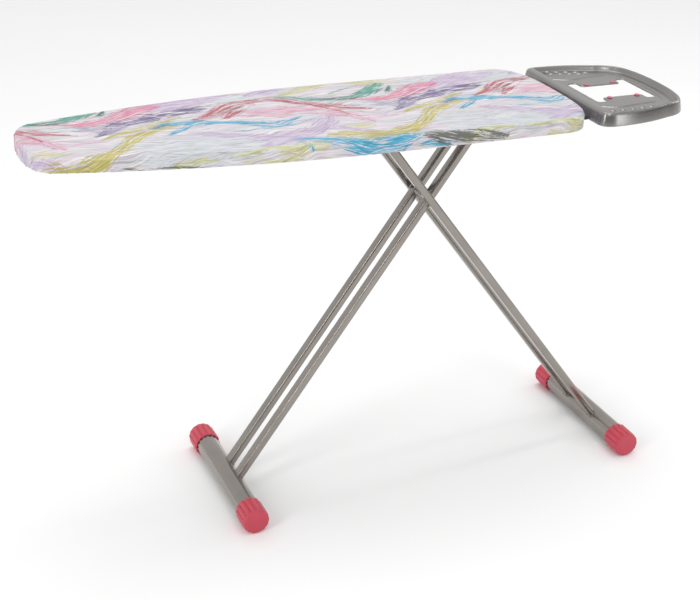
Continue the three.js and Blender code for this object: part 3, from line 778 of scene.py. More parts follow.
def brush_group():
    """Node group: lays one colour of dry brush strokes over the colour below."""
    tree = bpy.data.node_groups.new("dry_brush", "ShaderNodeTree")
    for name, kind in (
        ("Stroke", "NodeSocketVector"),
        ("Below", "NodeSocketColor"),
        ("Paint", "NodeSocketColor"),
        ("Dry", "NodeSocketFloat"),
        ("Opacity", "NodeSocketFloat"),
        ("Seed", "NodeSocketFloat"),
    ):
        tree.interface.new_socket(name, in_out="INPUT", socket_type=kind)
    tree.interface.new_socket("Color", in_out="OUTPUT", socket_type="NodeSocketColor")
    work = Tree(tree)
    given = work.node("NodeGroupInput").outputs
    stroke = work.node("ShaderNodeSeparateXYZ", {0: given["Stroke"]}).outputs
    spots = []
    for along, across in ((0.010, 0.11), (0.024, 0.30)):
        spot = work.node(
            "ShaderNodeCombineXYZ",
            {
                0: work.math("MULTIPLY", stroke[0], along),
                1: work.math("MULTIPLY", stroke[1], across),
                2: given["Seed"],
            },
        ).outputs[0]
        spots.append(work.noise(spot, 1.0, 2.0, 0.6, 0.35))
    coarse = work.math("MULTIPLY_ADD", spots[0], 2.2, -1.1)
    streak = work.math("ADD", coarse, work.math("MULTIPLY_ADD", spots[1], 4.2, -2.1))
    load = work.math("MULTIPLY_ADD", stroke[2], 0.95, -0.42)
    wet = work.math("MULTIPLY_ADD", streak, given["Dry"], load)
    there = work.between(stroke[2], 0.0, 0.10)
    mask = work.math("MULTIPLY", work.between(wet, -0.05, 0.30), there)
    share = work.math("MULTIPLY", mask, given["Opacity"], clamp=True)
    deeper = {"Saturation": 1.15, "Value": 0.5, "Color": given["Paint"]}
    dark = work.node("ShaderNodeHueSaturation", deeper)
    shade = work.mix(work.between(spots[1], 0.48, 0.64, 0.0, 0.75), given["Paint"], dark.outputs[0])
    colour = work.mix(share, given["Below"], shade)
    work.node("NodeGroupOutput", {"Color": colour})
    return tree


def cover_material():
    made, tree, shader = new_material("printed_cotton")
    cloth = tree.node("ShaderNodeAttribute", attribute_name="cloth").outputs["Vector"]
    drift = tree.noise(cloth, 0.006, 2.0)
    sideways = tree.node("ShaderNodeCombineXYZ", {1: tree.math("MULTIPLY", drift, 120.0)}).outputs[0]
    bent = tree.node("ShaderNodeVectorMath", {0: cloth, 1: sideways}, operation="ADD").outputs[0]
    hair = tree.noise(tree.stretched(bent, 0.010, 0.21, 1.0), 1.0, 2.0, 0.6)
    thread = tree.noise(tree.stretched(bent, 0.008, 0.13, 7.0), 1.0, 2.0, 0.6)
    soft = tree.noise(tree.stretched(bent, 0.006, 0.030, 1.0), 1.0, 3.0, 0.55)
    ground = tree.mix(tree.between(soft, 0.35, 0.62), linear(216, 209, 214), linear(196, 193, 202))
    colour = tree.mix(tree.between(hair, 0.54, 0.64, 0.0, 0.65), ground, linear(160, 154, 166))
    colour = tree.mix(tree.between(hair, 0.46, 0.36, 0.0, 0.7), colour, linear(234, 230, 231))
    colour = tree.mix(tree.between(thread, 0.60, 0.66, 0.0, 0.7), colour, linear(196, 194, 150))
    colour = tree.mix(tree.between(thread, 0.40, 0.34, 0.0, 0.7), colour, linear(206, 160, 182))
    group = brush_group()
    for number, (name, (tint, dry, opacity, _)) in enumerate(PRINT.items()):
        stroke = tree.node("ShaderNodeAttribute", attribute_name=name).outputs["Vector"]
        layer = tree.node("ShaderNodeGroup", node_tree=group)
        tree.feed(layer, {
            "Stroke": stroke,
            "Below": colour,
            "Paint": linear(*tint),
            "Dry": dry,
            "Opacity": opacity,
            "Seed": 3.7 * number,
        })
        colour = layer.outputs[0]
    bristle = tree.noise(tree.stretched(bent, 0.010, 0.17, 21.0), 1.0, 2.0, 0.6)
    colour = tree.mix(tree.between(bristle, 0.60, 0.66, 0.0, 0.6), colour, linear(228, 224, 224))
    colour = tree.mix(tree.between(bristle, 0.40, 0.345, 0.0, 0.45), colour, linear(120, 116, 118))
    yarn = [
        tree.node(
            "ShaderNodeTexWave", {"Vector": cloth, "Scale": 0.52}, bands_direction=direction
        ).outputs["Fac"]
        for direction in ("X", "Y")
    ]
    weave = tree.math("MAXIMUM", *yarn)
    # Painted highlight: the raised threads of the weave are mixed up to 6% whiter, where the bump lifts
    # them.
    threads = tree.mix(tree.math("MULTIPLY", weave, 0.06), colour, (1.0, 1.0, 1.0, 1.0))
    lumps = tree.noise(tree.stretched(bent, 0.02, 0.05, 1.0), 1.0, 3.0)
    rough = tree.bump(weave, 0.00012, 0.25)
    tree.feed(shader, {
        "Base Color": threads,
        "Roughness": tree.between(weave, 0.0, 1.0, 0.82, 0.9),
        "Sheen Weight": 0.12,
        "Sheen Roughness": 0.5,
        "Specular IOR Level": 0.25,
        "Normal": tree.bump(lumps, 0.0012, 0.35, rough),
    })
    return made


# The zinc plate's drawn lines run along X.
FINISH = {
    "leg_paint": metallic_paint("leg_metallic", linear(150, 144, 138), 0.2, 0.9, coat=0.25),
    "tray_paint": metallic_paint("tray_metallic", linear(146, 144, 142), 0.27, 0.85, 420.0, 0.1),
    "deck_paint": powder_coat("deck_powder", linear(158, 156, 152), 0.5),
    "zinc": plated_steel("zinc_plate", linear(190, 192, 194), 0.34, (60.0, 900.0, 900.0)),
    "dark_steel": powder_coat("black_steel", linear(48, 46, 48), 0.45),
    "cap_plastic": moulded("coral_plastic", linear(198, 66, 84), 0.36, 0.0),
    "silicone": moulded("pink_silicone", linear(205, 105, 125), 0.55, 0.15),
    "nylon": moulded("nylon", linear(228, 226, 220), 0.4, 0.15),
    "pad_foam": foam(),
    "cover_fabric": cover_material(),
}


# ---------- outlines of the board and the iron rest ----------
cover_low, cover_high = place("cover")
nose_x, tail_x = cover_low[0], cover_high[0]
half_width = cover_high[1]
TAPER_LENGTH = 725
TAPER_DROP = 78
NOSE_DEPTH = 58
TAIL_CORNER = 62
TAIL_BULGE = 10


def rounded_edge(inset, top, corner, count):
    """(distance in, height) points of a rounded top edge, from its top down."""
    return [
        (inset + corner - corner * math.sin(turn), top - corner + corner * math.cos(turn))
        for turn in quarter(count)
    ]


def board_half():
    """Half outline on the +Y side, from the nose to the square end."""
    taper_x = nose_x + TAPER_LENGTH
    shoulder = (nose_x + NOSE_DEPTH, half_width - TAPER_DROP)
    slope = 2 * TAPER_DROP / (taper_x - shoulder[0])
    corner_x = tail_x - TAIL_BULGE
    nose = bezier(
        (nose_x, 0),
        (nose_x, shoulder[1] * 0.62),
        (nose_x + NOSE_DEPTH * 0.2, shoulder[1] - slope * NOSE_DEPTH * 0.8),
        shoulder,
    )
    taper = bezier(shoulder, ((taper_x + shoulder[0]) / 2, half_width), (taper_x, half_width))
    corner = bezier(
        (corner_x - TAIL_CORNER * 1.2, half_width),
        (corner_x - TAIL_CORNER * 0.5, half_width),
        (corner_x - TAIL_CORNER * 0.25, half_width - TAIL_CORNER * 0.35),
        (corner_x, half_width - TAIL_CORNER),
    )
    end = bezier((corner_x, half_width - TAIL_CORNER), (tail_x, half_width / 2), (tail_x, 0))
    return joined(nose, taper, corner, end)


def closed(half):
    return np.vstack([half, half[-2:0:-1] * (1, -1)])


def board_loop(count=420, nose_share=3.2):
    def weight(at):
        nose = np.clip(1 - (at[:, 0] - nose_x) / 170, 0, 1)
        tail = np.clip(1 - (tail_x - at[:, 0]) / 90, 0, 1)
        return 1 + nose_share * nose**0.5 + 1.6 * tail**0.5

    return closed(resample(board_half(), count, weight))


def spine(loop, low_x, high_x):
    """The point on the board's axis that each outline point runs to."""
    half = len(loop) // 2 + 1
    x = np.linspace(low_x, high_x, half)
    along = np.r_[x, x[-2:0:-1]]
    return np.column_stack([along, 0 * along])


# ---------- cover ----------
def cover_piece():
    edge, thickness = 8.0, 0.8
    hem, hem_lip = 24.0, 2.2
    bottom, top = cover_low[2], cover_high[2]
    loop = board_loop(501)
    normals = inward_normals(loop)
    step = np.linalg.norm(np.roll(loop, -1, 0) - loop, axis=1)
    around = np.r_[0, np.cumsum(step)[:-1]]

    # Section from the flat top out over the edge, down the side and in under the hem:
    # distance in from the outline, height, tilt of its normal, distance past the edge.
    section = [(d, top, 0.0, edge - d) for d in (26, 22, 18, 14.5, 11.5, 9.5)]
    for turn in quarter(9):
        past = edge * turn
        section.append(
            (edge - edge * math.sin(turn), top - edge + edge * math.cos(turn), turn, past)
        )
    over = edge * math.pi / 2
    side = top - edge - bottom - 1.6
    for share in np.linspace(0, 1, 12)[1:]:
        section.append((0.0, top - edge - side * share, math.pi / 2, over + side * share))
    for turn in quarter(5)[1:]:
        section.append(
            (1.6 - 1.6 * math.cos(turn), bottom + 1.6 - 1.6 * math.sin(turn), math.pi / 2 + turn,
             over + side + 1.6 * turn)
        )
    under = over + side + 2.5
    for d in (4.5, 9, 14, 19, hem - hem_lip):
        section.append((d, bottom + 0.1, math.pi, under + d - 1.6))
    for turn in np.linspace(0.5, 4.6, 8):
        section.append(
            (hem - hem_lip / 2 + hem_lip * 0.55 * math.sin(turn - 0.6),
             bottom + 1.0 - 0.9 * math.cos(turn - 0.5), math.pi, under + hem)
        )
    section = np.array(section)

    rows, spots = [], []
    core = spine(loop, nose_x + 95, tail_x - 120)
    ring = offset(loop, section[0][0])
    inner_rows = 36
    for row in range(inner_rows):
        flat = core + (ring - core) * (row / inner_rows)
        rows.append(np.column_stack([flat, 0 * around + top]))
        spots.append(flat)
    # Gathers: pleats drawn up by the cord in the hem, strongest round the nose.
    pleat_pitch, fold_pitch = 10.5, 27
    nose = np.clip(1 - (loop[:, 0] - nose_x) / 210, 0, 1) ** 0.8
    tail = np.clip(1 - (tail_x - loop[:, 0]) / 110, 0, 1) ** 1.2
    strength = 0.12 + 1.15 * nose + 0.4 * tail
    rng = np.random.default_rng(11)
    mixed = rng.uniform(0, 2 * math.pi, 6)
    bend = 3.4 * np.sin(around / 39 + mixed[0]) + 2.3 * np.sin(around / 17 + mixed[1])
    for d, z, tilt, past in section:
        slant = around + bend + 0.16 * past * np.sin(around / 90 + mixed[2])
        fine = (1 - np.abs(np.sin(slant * math.pi / pleat_pitch))) ** 1.3
        broad = 0.5 + 0.5 * np.sin(slant * 2 * math.pi / fold_pitch + mixed[3])
        wave = fine * (0.45 + 0.55 * broad) + 0.35 * broad - 0.35
        grow = np.clip((past + 20) / 46, 0, 1) ** 1.5
        if past > under:
            grow = max(0.25, 1 - (past - under) / 18)
        puff = wave * grow * strength
        outward = -normals * (math.sin(tilt) if tilt <= math.pi / 2 else math.cos(tilt - math.pi / 2))
        rise = math.cos(tilt)
        flat = loop + normals * d + outward * puff[:, None]
        if tilt > 3:
            height = 0.0 * puff + z
            flat = loop + normals * d
        else:
            height = z + rise * puff
        rows.append(np.column_stack([flat, height]))
        spots.append(loop + normals * (edge - past))
    # The inner face of the cloth, from the hem back up under the top.
    lining = [(d, bottom + 0.9) for d in (hem - 3.6, 12.0, 3.0)]
    lining += [(thickness, z) for z in (bottom + 3.0, top - edge - 8, top - edge)]
    for turn in (0.5, 1.0, math.pi / 2):
        bend_in = (edge - thickness) * (1 - math.cos(turn))
        lining.append((thickness + bend_in, top - edge + (edge - thickness) * math.sin(turn)))
    for d, z in lining:
        rows.append(np.column_stack([loop + normals * d, 0 * around + z]))
        spots.append(loop + normals * d)
    rows.append(np.column_stack([core, 0 * around + top - thickness]))
    spots.append(core)
    body = Body().grid(rows)
    cloth = np.vstack(spots)
    made = bpy.data.meshes.new("cover_cloth")
    made.from_pydata((np.vstack(body.verts) * MM).tolist(), [], body.faces)

    def store(name, values):
        layer = made.attributes.new(name, "FLOAT_VECTOR", "POINT")
        layer.data.foreach_set("vector", values.astype(np.float32).ravel())

    store("cloth", np.column_stack([cloth, 0 * cloth[:, 0]]))
    for name, (_, _, _, strokes) in PRINT.items():
        store(name, brush_field(cloth, strokes))
    work = bmesh.new()
    work.from_mesh(made)
    bmesh.ops.remove_doubles(work, verts=work.verts, dist=MERGE_DISTANCE)
    work.to_mesh(made)
    work.free()
    obj = bpy.data.objects.new("cover_cloth", made)
    bpy.context.scene.collection.objects.link(obj)
    smooth(obj.data, 60.0)
    stand_for(obj, "cover_fabric", "cover")


# ---------- foam pad ----------
def pad_piece():
    low, high = place("foam_pad")
    margin = low[0] - nose_x
    loop = board_loop(300, 1.2)
    core = spine(loop, nose_x + 95, tail_x - 120)
    section = [(40.0, high[2]), *rounded_edge(margin, high[2], 3.0, 6)]
    section.append((margin + 0.4, (low[2] + high[2]) / 2))
    for turn in quarter(5):
        section.append((margin + 1.5 - 1.5 * math.cos(turn), low[2] + 1.5 - 1.5 * math.sin(turn)))
    section.append((40.0, low[2]))
    rows = [np.column_stack([offset(loop, d), np.full(len(loop), z)]) for d, z in section]
    shares = np.linspace(0, 1, 9)[:-1]
    top = [core + (rows[0][:, :2] - core) * s for s in shares]
    bottom = [core + (rows[-1][:, :2] - core) * s for s in shares[::-1]]
    rows = (
        [np.column_stack([flat, np.full(len(loop), high[2])]) for flat in top]
        + rows
        + [np.column_stack([flat, np.full(len(loop), low[2])]) for flat in bottom]
    )
    obj = Body().grid(rows).mesh("foam_pad_sheet", 50.0)
    stand_for(obj, "pad_foam", "foam_pad")


# ---------- deck pan and channels ----------
VENT_RADIUS = 7.0
VENT_PITCH = (62, 52)


def half_width_at(loop, x):
    side = loop[: len(loop) // 2 + 1]
    return np.interp(x, side[:, 0], side[:, 1])


def vent_places(channels):
    edge = 34
    inner = offset(board_loop(300), edge)
    rows = int(half_width // VENT_PITCH[1])
    found = []
    for column in range(int((tail_x - nose_x) // VENT_PITCH[0]) + 1):
        x = nose_x + VENT_PITCH[0] * (column + 0.5)
        if any(abs(x - middle) < reach + VENT_RADIUS for middle, reach in channels):
            continue
        for row in range(-rows, rows + 1):
            y = VENT_PITCH[1] * (row + (0.5 if column % 2 else 0))
            if x < tail_x - edge and abs(y) < half_width_at(inner, x):
                found.append((x, y))
    return found


def deck_piece():
    low, high = place("deck_pan")
    thickness = 0.8
    margin = low[0] - nose_x
    loop = board_loop(360, 1.2)
    channels = []
    for node in ("nose_channel", "hinge_channel", "tail_channel"):
        start, end = place(node)
        channels.append(((start[0] + end[0]) / 2, (end[0] - start[0]) / 2))
    vents = vent_places(channels)
    lip = [(0.0, -1.3), (0.9, -0.45), (2.0, 0.0)]
    top = high[2]
    holes = [circle(x, y, VENT_RADIUS - 0.6 + lip[-1][0], 18) for x, y in vents]
    outer = offset(loop, margin + 7)
    body = Body()
    flat, faces = fill(outer, holes)
    body.add(as_xyz(flat, top, "Z"), faces)
    for x, y in vents:
        body.grid([as_xyz(circle(x, y, VENT_RADIUS - 0.6 + d, 18), top + drop, "Z") for d, drop in lip])
    section = [(margin + 7, top), *rounded_edge(margin, top, 2.5, 6), (margin, low[2] + 0.2)]
    body.grid([as_xyz(offset(loop, d), z, "Z") for d, z in section])
    obj = body.mesh("deck_pan_sheet", 40.0)
    if obj.data.polygons[int(np.argmax([p.area for p in obj.data.polygons]))].normal.z < 0:
        obj.data.flip_normals()
    run_modifier(obj, "SOLIDIFY", thickness=thickness * MM, offset=-1.0)
    smooth(obj.data, 40.0)
    return stand_for(obj, "deck_paint", "deck_pan")


def channel_piece(node):
    low, high = place(node)
    wall, lip = 1.2, 9.0
    middle, half = (low[0] + high[0]) / 2, (high[0] - low[0]) / 2 - lip
    right = [(half + lip, high[2]), (half + lip, high[2] - wall), (half, high[2] - wall), (half, low[2])]
    inner = [(half - wall, low[2] + wall), (half - wall, high[2])]
    side = [(x, z) for x, z in right]
    loop = side + [(-x, z) for x, z in side[::-1]] + [(-x, z) for x, z in inner[::-1]] + inner
    points = np.array([(middle + x, z) for x, z in loop])
    radii = [0.25, 0.25, 0.9, 1.9, 1.9, 0.9, 0.25, 0.25, 1.6, 0.9, 0.9, 1.6]
    outline = soften(points, radii, 4)
    body = plate(Body(), outline, low[1], high[1], "Y", 0.2)
    # Spot welds along both lips.
    lens = ((0.0, -0.3), (3.0, -0.3), (2.7, 0.12), (1.6, 0.05), (0.0, 0.0))
    weld = [(r, high[2] - wall - drop) for r, drop in lens]
    weld_pitch = 55
    for y in np.arange(low[1] + 25, high[1] - 20, weld_pitch):
        for x in (middle - half - lip / 2, middle + half + lip / 2):
            body.grid(rings_z(weld, x, y, 16))
    obj = body.mesh(node + "_pressing")
    if node == "tail_channel":
        for strap in ("rest_strap_near", "rest_strap_far"):
            y = centre(strap)[1]
            drill(obj, "Z", (middle, y, low[2]), SCREW_BORE, 5)
    return stand_for(obj, "deck_paint", node)


# ---------- leg hinge, pivot and slider ----------
PIN_BORE = 4.3  # for the 8 mm hinge pin and pivot rod
BAR_BORE = 8.3  # for the 16 mm slider bar
BAR_INSIDE = 6.4
LEVER_BORE = 3.3
SCREW_BORE = 2.2


def round_rod(node, slot, edge=0.6):
    low, high = place(node)
    profile = rod_profile(radius_of(node), low[1], high[1], edge)
    obj = turned(node + "_turned", profile, centre(node))
    return stand_for(obj, slot, node)


def round_ring(node, slot, bore, edge=0.5):
    low, high = place(node)
    profile = ring_profile(radius_of(node), bore, low[1], high[1], edge)
    obj = turned(node + "_turned", profile, centre(node))
    return stand_for(obj, slot, node)


def hinge_bracket_piece():
    node = "hinge_bracket"
    low, high = place(node)
    outline = u_outline(low, high, 2.5, 3.2, 0.9, 0.8)
    obj = plate(Body(), outline, low[0], high[0], "X", 0.3).mesh(node + "_pressing")
    drill(obj, "Y", centre("hinge_pin"), PIN_BORE, 40)
    return stand_for(obj, "zinc", node)


def rack_piece(side):
    node = f"rack_{side}"
    low, high = place(node)
    thickness = 2.0
    bar_x, _, bar_z = centre("slider_bar")
    glide_radius = radius_of(f"slider_glide_{side}")
    slot = glide_radius + 1.4
    travel = high[0] - low[0] - 2 * (slot + 9.0)
    if side == "far":
        plate_low, plate_high = low[1], low[1] + thickness
    else:
        plate_low, plate_high = high[1] - thickness, high[1]
    outline = rounded_box(low[0], low[2], high[0], high[2], [8, 8, 0.6, 0.6], 6)
    # Upper edge of the slot: a row of round notches, one for each height.
    notches, depth = 6, 4.0
    turn = np.linspace(-math.pi / 2, math.pi / 2, 13)
    right = np.column_stack([bar_x + slot * np.cos(turn), bar_z + slot * np.sin(turn)])
    back = turn[::-1]
    left = np.column_stack([bar_x - travel - slot * np.cos(back), bar_z + slot * np.sin(back)])
    x = np.linspace(bar_x, bar_x - travel, 160)[1:-1]
    raised = bar_z + slot + 0 * x
    for notch in range(notches):
        away = x - (bar_x - travel * notch / notches)
        arc = np.sqrt(np.maximum(0, glide_radius**2 - away**2))
        raised = np.maximum(raised, bar_z + depth + arc)
    upper = np.column_stack([x, raised])
    hole = joined(right, upper, left)
    body = plate(Body(), outline, plate_low, plate_high, "Y", 0.35, [hole])
    top = rounded_box(low[0], low[1], high[0], high[1], 2.0, 4)
    plate(body, top, high[2] - thickness, high[2], "Z", 0.3)
    return stand_for(body.mesh(node + "_pressing"), "zinc", node)


# ---------- release lever ----------
def lever_pieces():
    pin_x, _, pin_z = centre("lever_pin")
    bracket_low, bracket_high = place("lever_bracket")
    outline = u_outline(bracket_low, bracket_high, 1.5, 1.8, 0.6, 0.5)
    bracket = plate(Body(), outline, bracket_low[0], bracket_high[0], "X", 0.25)
    bracket = bracket.mesh("lever_bracket_pressing")
    middle_y = (bracket_low[1] + bracket_high[1]) / 2
    drill(bracket, "Y", (pin_x, middle_y, pin_z), LEVER_BORE, 12)
    stand_for(bracket, "zinc", "lever_bracket")
    round_rod("lever_pin", "zinc", 0.7)

    low, high = place("release_lever")
    bar = centre("slider_bar")
    bar_radius = radius_of("slider_bar")
    catch_z = bar[2] - bar_radius - 1.2
    catch_x = bar[0] - bar_radius - 10
    blade = soften(
        [
            (high[0], pin_z + 3), (pin_x - 6, pin_z + 6), (pin_x - 14, pin_z),
            (bar[0] + 14, catch_z - 1), (catch_x + 7, catch_z - 4), (catch_x + 5, catch_z),
            (catch_x, catch_z), (catch_x - 2, catch_z - 10), (bar[0] + 16, catch_z - 9),
            (pin_x - 2, pin_z - 8), (pin_x + 10, pin_z - 6), (high[0], pin_z - 3),
        ],
        [1, 5, 6, 5, 2.5, 0.8, 0.8, 3, 8, 6, 6, 1], 5,
    )
    blade_y = high[1]
    body = plate(Body(), blade, blade_y - 2.5, blade_y, "Y", 0.35)
    grip_low, grip_high = place("lever_grip")
    tab = rounded_box(high[0] - 26, low[1], high[0], blade_y - 1, 1.5, 3)
    plate(body, tab, pin_z - 1, pin_z + 1, "Z", 0.3)
    lever = body.mesh("release_lever_pressing")
    drill(lever, "Y", (pin_x, blade_y - 1.2, pin_z), LEVER_BORE, 6)
    stand_for(lever, "zinc", "release_lever")

    # Grip: a soft-edged paddle with finger ribs.
    gx0, gx1, gy0, gy1 = grip_low[0], grip_high[0], grip_low[1], grip_high[1]
    half = (grip_high[2] - grip_low[2]) / 2
    section = dense(rounded_box(gx0, -half, gx1, half, half * 0.95, 7), 1.6)
    mid = np.array([(gx0 + gx1) / 2, 0.0])
    rows = []
    length = gy1 - gy0
    for share in np.linspace(0, 1, 61):
        y = gy0 + length * share
        end = min(y - gy0, gy1 - y)
        round_in = 1 - 0.16 * max(0, 1 - end / 5.0) ** 2
        rib = 0.35 * math.sin(y * 2 * math.pi / 5.0) if 9 < end else 0.0
        spot = mid + (section - mid) * round_in
        spot[:, 1] += np.sign(spot[:, 1]) * np.where(np.abs(spot[:, 1]) > half * 0.7, rib - 0.35, 0)
        rows.append(np.column_stack([spot[:, 0], np.full(len(spot), y), pin_z + spot[:, 1]]))
    ends = [
        np.column_stack([0 * row[:, 0] + mid[0], row[:, 1], 0 * row[:, 2] + pin_z])
        for row in (rows[0], rows[-1])
    ]
    grip = Body().grid([ends[0], *rows, ends[1]]).mesh("lever_grip_moulding", 50.0)
    stand_for(grip, "cap_plastic", "lever_grip")

    spring_low, spring_high = place("lever_spring")
    wire = 0.7
    coil = (spring_high[0] - spring_low[0]) / 2 - wire
    share = np.linspace(0, 1, 220)
    turn = share * 5 * 2 * math.pi
    pitch = spring_high[1] - spring_low[1] - 2 * wire
    path = np.column_stack(
        [pin_x + coil * np.cos(turn), spring_low[1] + wire + pitch * share, pin_z + coil * np.sin(turn)]
    )
    spring = tube_along(Body(), path, wire, 10).mesh("lever_spring_wire")
    stand_for(spring, "zinc", "lever_spring")


# ---------- legs ----------
TUBE_WALL = 1.2
CROWN = 4.4


def leg_section(width, depth, steps=72):
    """A rectangle with tight round corners and slightly crowned faces."""
    turn = full_turn(steps * 8)
    bend = 2 / CROWN
    x = depth / 2 * np.sign(np.cos(turn)) * np.abs(np.cos(turn)) ** bend
    y = width / 2 * np.sign(np.sin(turn)) * np.abs(np.sin(turn)) ** bend
    loop = np.column_stack([x, y])
    middle_turn = lambda at: 1 + 5 * np.clip(
        (np.abs(at[:, 0]) / (depth / 2)) ** 3 * (np.abs(at[:, 1]) / (width / 2)) ** 3 * 2.2, 0, 1
    )
    return resample(np.vstack([loop, loop[:1]]), steps + 1, middle_turn)[:-1]


def leg_pieces(kind, top_node, top_hole, through):
    pivot = centre("pivot_sleeve")
    top = centre(top_node)
    foot = centre(f"{kind}_foot_tube")
    foot_radius = radius_of(f"{kind}_foot_tube")
    up = np.array([top[0] - pivot[0], 0, top[2] - pivot[2]])
    top_reach = np.linalg.norm(up) + 12
    up /= np.linalg.norm(up)
    across = np.array([up[2], 0, -up[0]])
    to_foot = foot - pivot
    foot_across, foot_along = to_foot @ across, to_foot @ up
    for side, sign in (("near", -1), ("far", 1)):
        node = f"{kind}_leg_{side}"
        low, high = place(node)
        width, middle_y = high[1] - low[1], (low[1] + high[1]) / 2
        depth = 18.5
        outer = leg_section(width, depth)
        inner = leg_section(width - 2 * TUBE_WALL, depth - 2 * TUBE_WALL)

        def ring(points, along):
            reach = np.broadcast_to(along, (len(points),))[:, None]
            flat = pivot * (1, 0, 1) + points[:, :1] * across + reach * up
            return flat + np.column_stack([0 * reach, middle_y + points[:, 1:], 0 * reach])

        def saddle(points, clearance):
            gap = (foot_radius + clearance) ** 2 - (points[:, 0] - foot_across) ** 2
            return foot_along + np.sqrt(gap)

        rows = [ring(outer, saddle(outer, 0.35))]
        for share in np.linspace(0, 1, 14)[1:-1]:
            start = saddle(outer, 0.35)
            rows.append(ring(outer, start + (top_reach - 0.5 - start) * share))
        rows += [
            ring(outer, top_reach - 0.5),
            ring(outer - np.sign(outer) * 0.3, top_reach),
            ring(inner, top_reach),
            ring(inner, saddle(inner, 0.35)),
        ]
        rows.append(rows[0])
        obj = Body().grid(rows).mesh(f"{node}_tube")
        # Cross holes for the pivot rod and for the pin or bar at the top.
        for spot, whole in ((pivot, through), (top, kind == "outer")):
            radius = PIN_BORE if spot is pivot else top_hole
            y = middle_y if whole else middle_y - sign * width / 2
            drill(obj, "Y", (spot[0], y, spot[2]), radius, width * (0.75 if whole else 0.3))
        stand_for(obj, "leg_paint", node)
        # Weld bead round the joint with the foot tube.
        bead = leg_section(width + 1.0, depth + 1.0)
        path = ring(bead, saddle(bead, 0.5))
        travel = np.arange(len(path))
        ripple = 1.25 + 0.16 * np.sin(travel * 2 * math.pi / 3.4) + 0.22 * np.sin(travel / 5.3 + sign)
        weld = tube_along(Body(), path, ripple, 10, closed=True).mesh(f"{node}_weld", 70.0)
        finish_piece(weld, "leg_paint", BODY_OF[node])


# ---------- feet ----------
def foot_tube_piece(kind):
    node = f"{kind}_foot_tube"
    low, high = place(node)
    radius = radius_of(node)
    profile = ring_profile(radius, radius - TUBE_WALL, low[1], high[1], 0.4)
    obj = turned(f"{node}_pipe", profile, centre(node), 96)
    return stand_for(obj, "leg_paint", node)


CAP_LOBES = 14
LOBE_DEPTH = 3.4
CAP_PLAY = 0.35


def foot_cap_piece(kind, side):
    node = f"{kind}_foot_cap_{side}"
    low, high = place(node)
    sign = -1 if side == "near" else 1
    middle = centre(f"{kind}_foot_tube")
    radius = radius_of(node)
    bore = radius_of(f"{kind}_foot_tube") + CAP_PLAY
    depth, end_wall = high[1] - low[1], 14.0
    face = high[1] if side == "far" else low[1]
    segments = CAP_LOBES * 20
    turn = full_turn(segments)
    # 0 on the middle of a lobe, 1 in the bottom of a groove.
    between = np.abs(((turn * CAP_LOBES / (2 * math.pi)) % 1.0) * 2 - 1)
    groove = 0.25 - 0.25 * np.cos(math.pi * between) + 0.5 * np.clip((between - 0.6) / 0.4, 0, 1) ** 1.3
    rows = []

    def ring(reach, back, cut):
        r = reach - cut * LOBE_DEPTH * groove if cut else reach + 0 * turn
        y = 0 * turn + face - sign * back
        rows.append(np.column_stack([middle[0] + r * np.sin(turn), y, middle[2] - r * np.cos(turn)]))

    ring(0.0, 0.25, 0)
    ring(radius * 0.5, 0.2, 0)
    ring(radius * 0.72, 0.0, 0)
    for share in np.linspace(0, 1, 9):
        bent = share * math.pi / 2
        reach = radius * 0.84 + radius * 0.14 * math.sin(bent)
        ring(reach, 3.4 * (1 - math.cos(bent)), 0.62 * share**1.5)
    ring(radius * 0.988, 5.2, 0.78)
    ring(radius * 0.996, 8.0, 0.95)
    for back in (12.0, 16.0, 24.0, 33.0, 42.0, 49.0):
        ring(radius, back, 1.0)
    for share in np.linspace(0, 1, 6)[1:]:
        bent = share * math.pi / 2
        ring(radius - 1.3 * (1 - math.cos(bent)), depth - 2.4 + 2.4 * math.sin(bent), 1.0 - 0.1 * share)
    ring(bore + 0.25, depth, 0)
    ring(bore, depth - 0.6, 0)
    ring(bore, end_wall + 0.1, 0)
    ring(0.0, end_wall + 0.1, 0)
    obj = Body().grid(rows).mesh(f"{node}_moulding", 42.0)
    return stand_for(obj, "cap_plastic", node)


# ---------- iron rest ----------
tray_low, tray_high = place("iron_rest_tray")
REST_TAPER = 30
REST_CORNER = 78
BOARD_RIM = 15
BUMP_HEIGHT = 2.8
GROOVE_DEPTH = 2.8
TRAY_SHEET = 2.6


def rest_half():
    """Half outline of the iron rest on the +Y side, from the board side to the outer end."""
    x0, x1 = tray_low[0], tray_high[0]
    wide = tray_high[1]
    side = wide - REST_TAPER
    inner = 16
    edge = np.array([(x0, 0), (x0, wide - inner * 2)], float)
    corner = bezier(
        (x0, wide - inner * 2), (x0, wide - inner * 0.5),
        (x0 + inner * 0.7, wide), (x0 + inner * 2.4, wide),
    )
    flank = bezier(
        (x0 + inner * 2.4, wide), (x0 + (x1 - x0) * 0.36, wide),
        (x1 - REST_CORNER * 1.7, wide - REST_TAPER * 0.2), (x1 - REST_CORNER, side + REST_TAPER * 0.2),
    )
    shoulder = bezier(
        (x1 - REST_CORNER, side + REST_TAPER * 0.2), (x1 - REST_CORNER * 0.45, side * 0.98),
        (x1 - 16, side * 0.83), (x1 - 10, side * 0.62),
    )
    end = bezier((x1 - 10, side * 0.62), (x1, side * 0.4), (x1, 0))
    return joined(edge, corner, flank, shoulder, end)


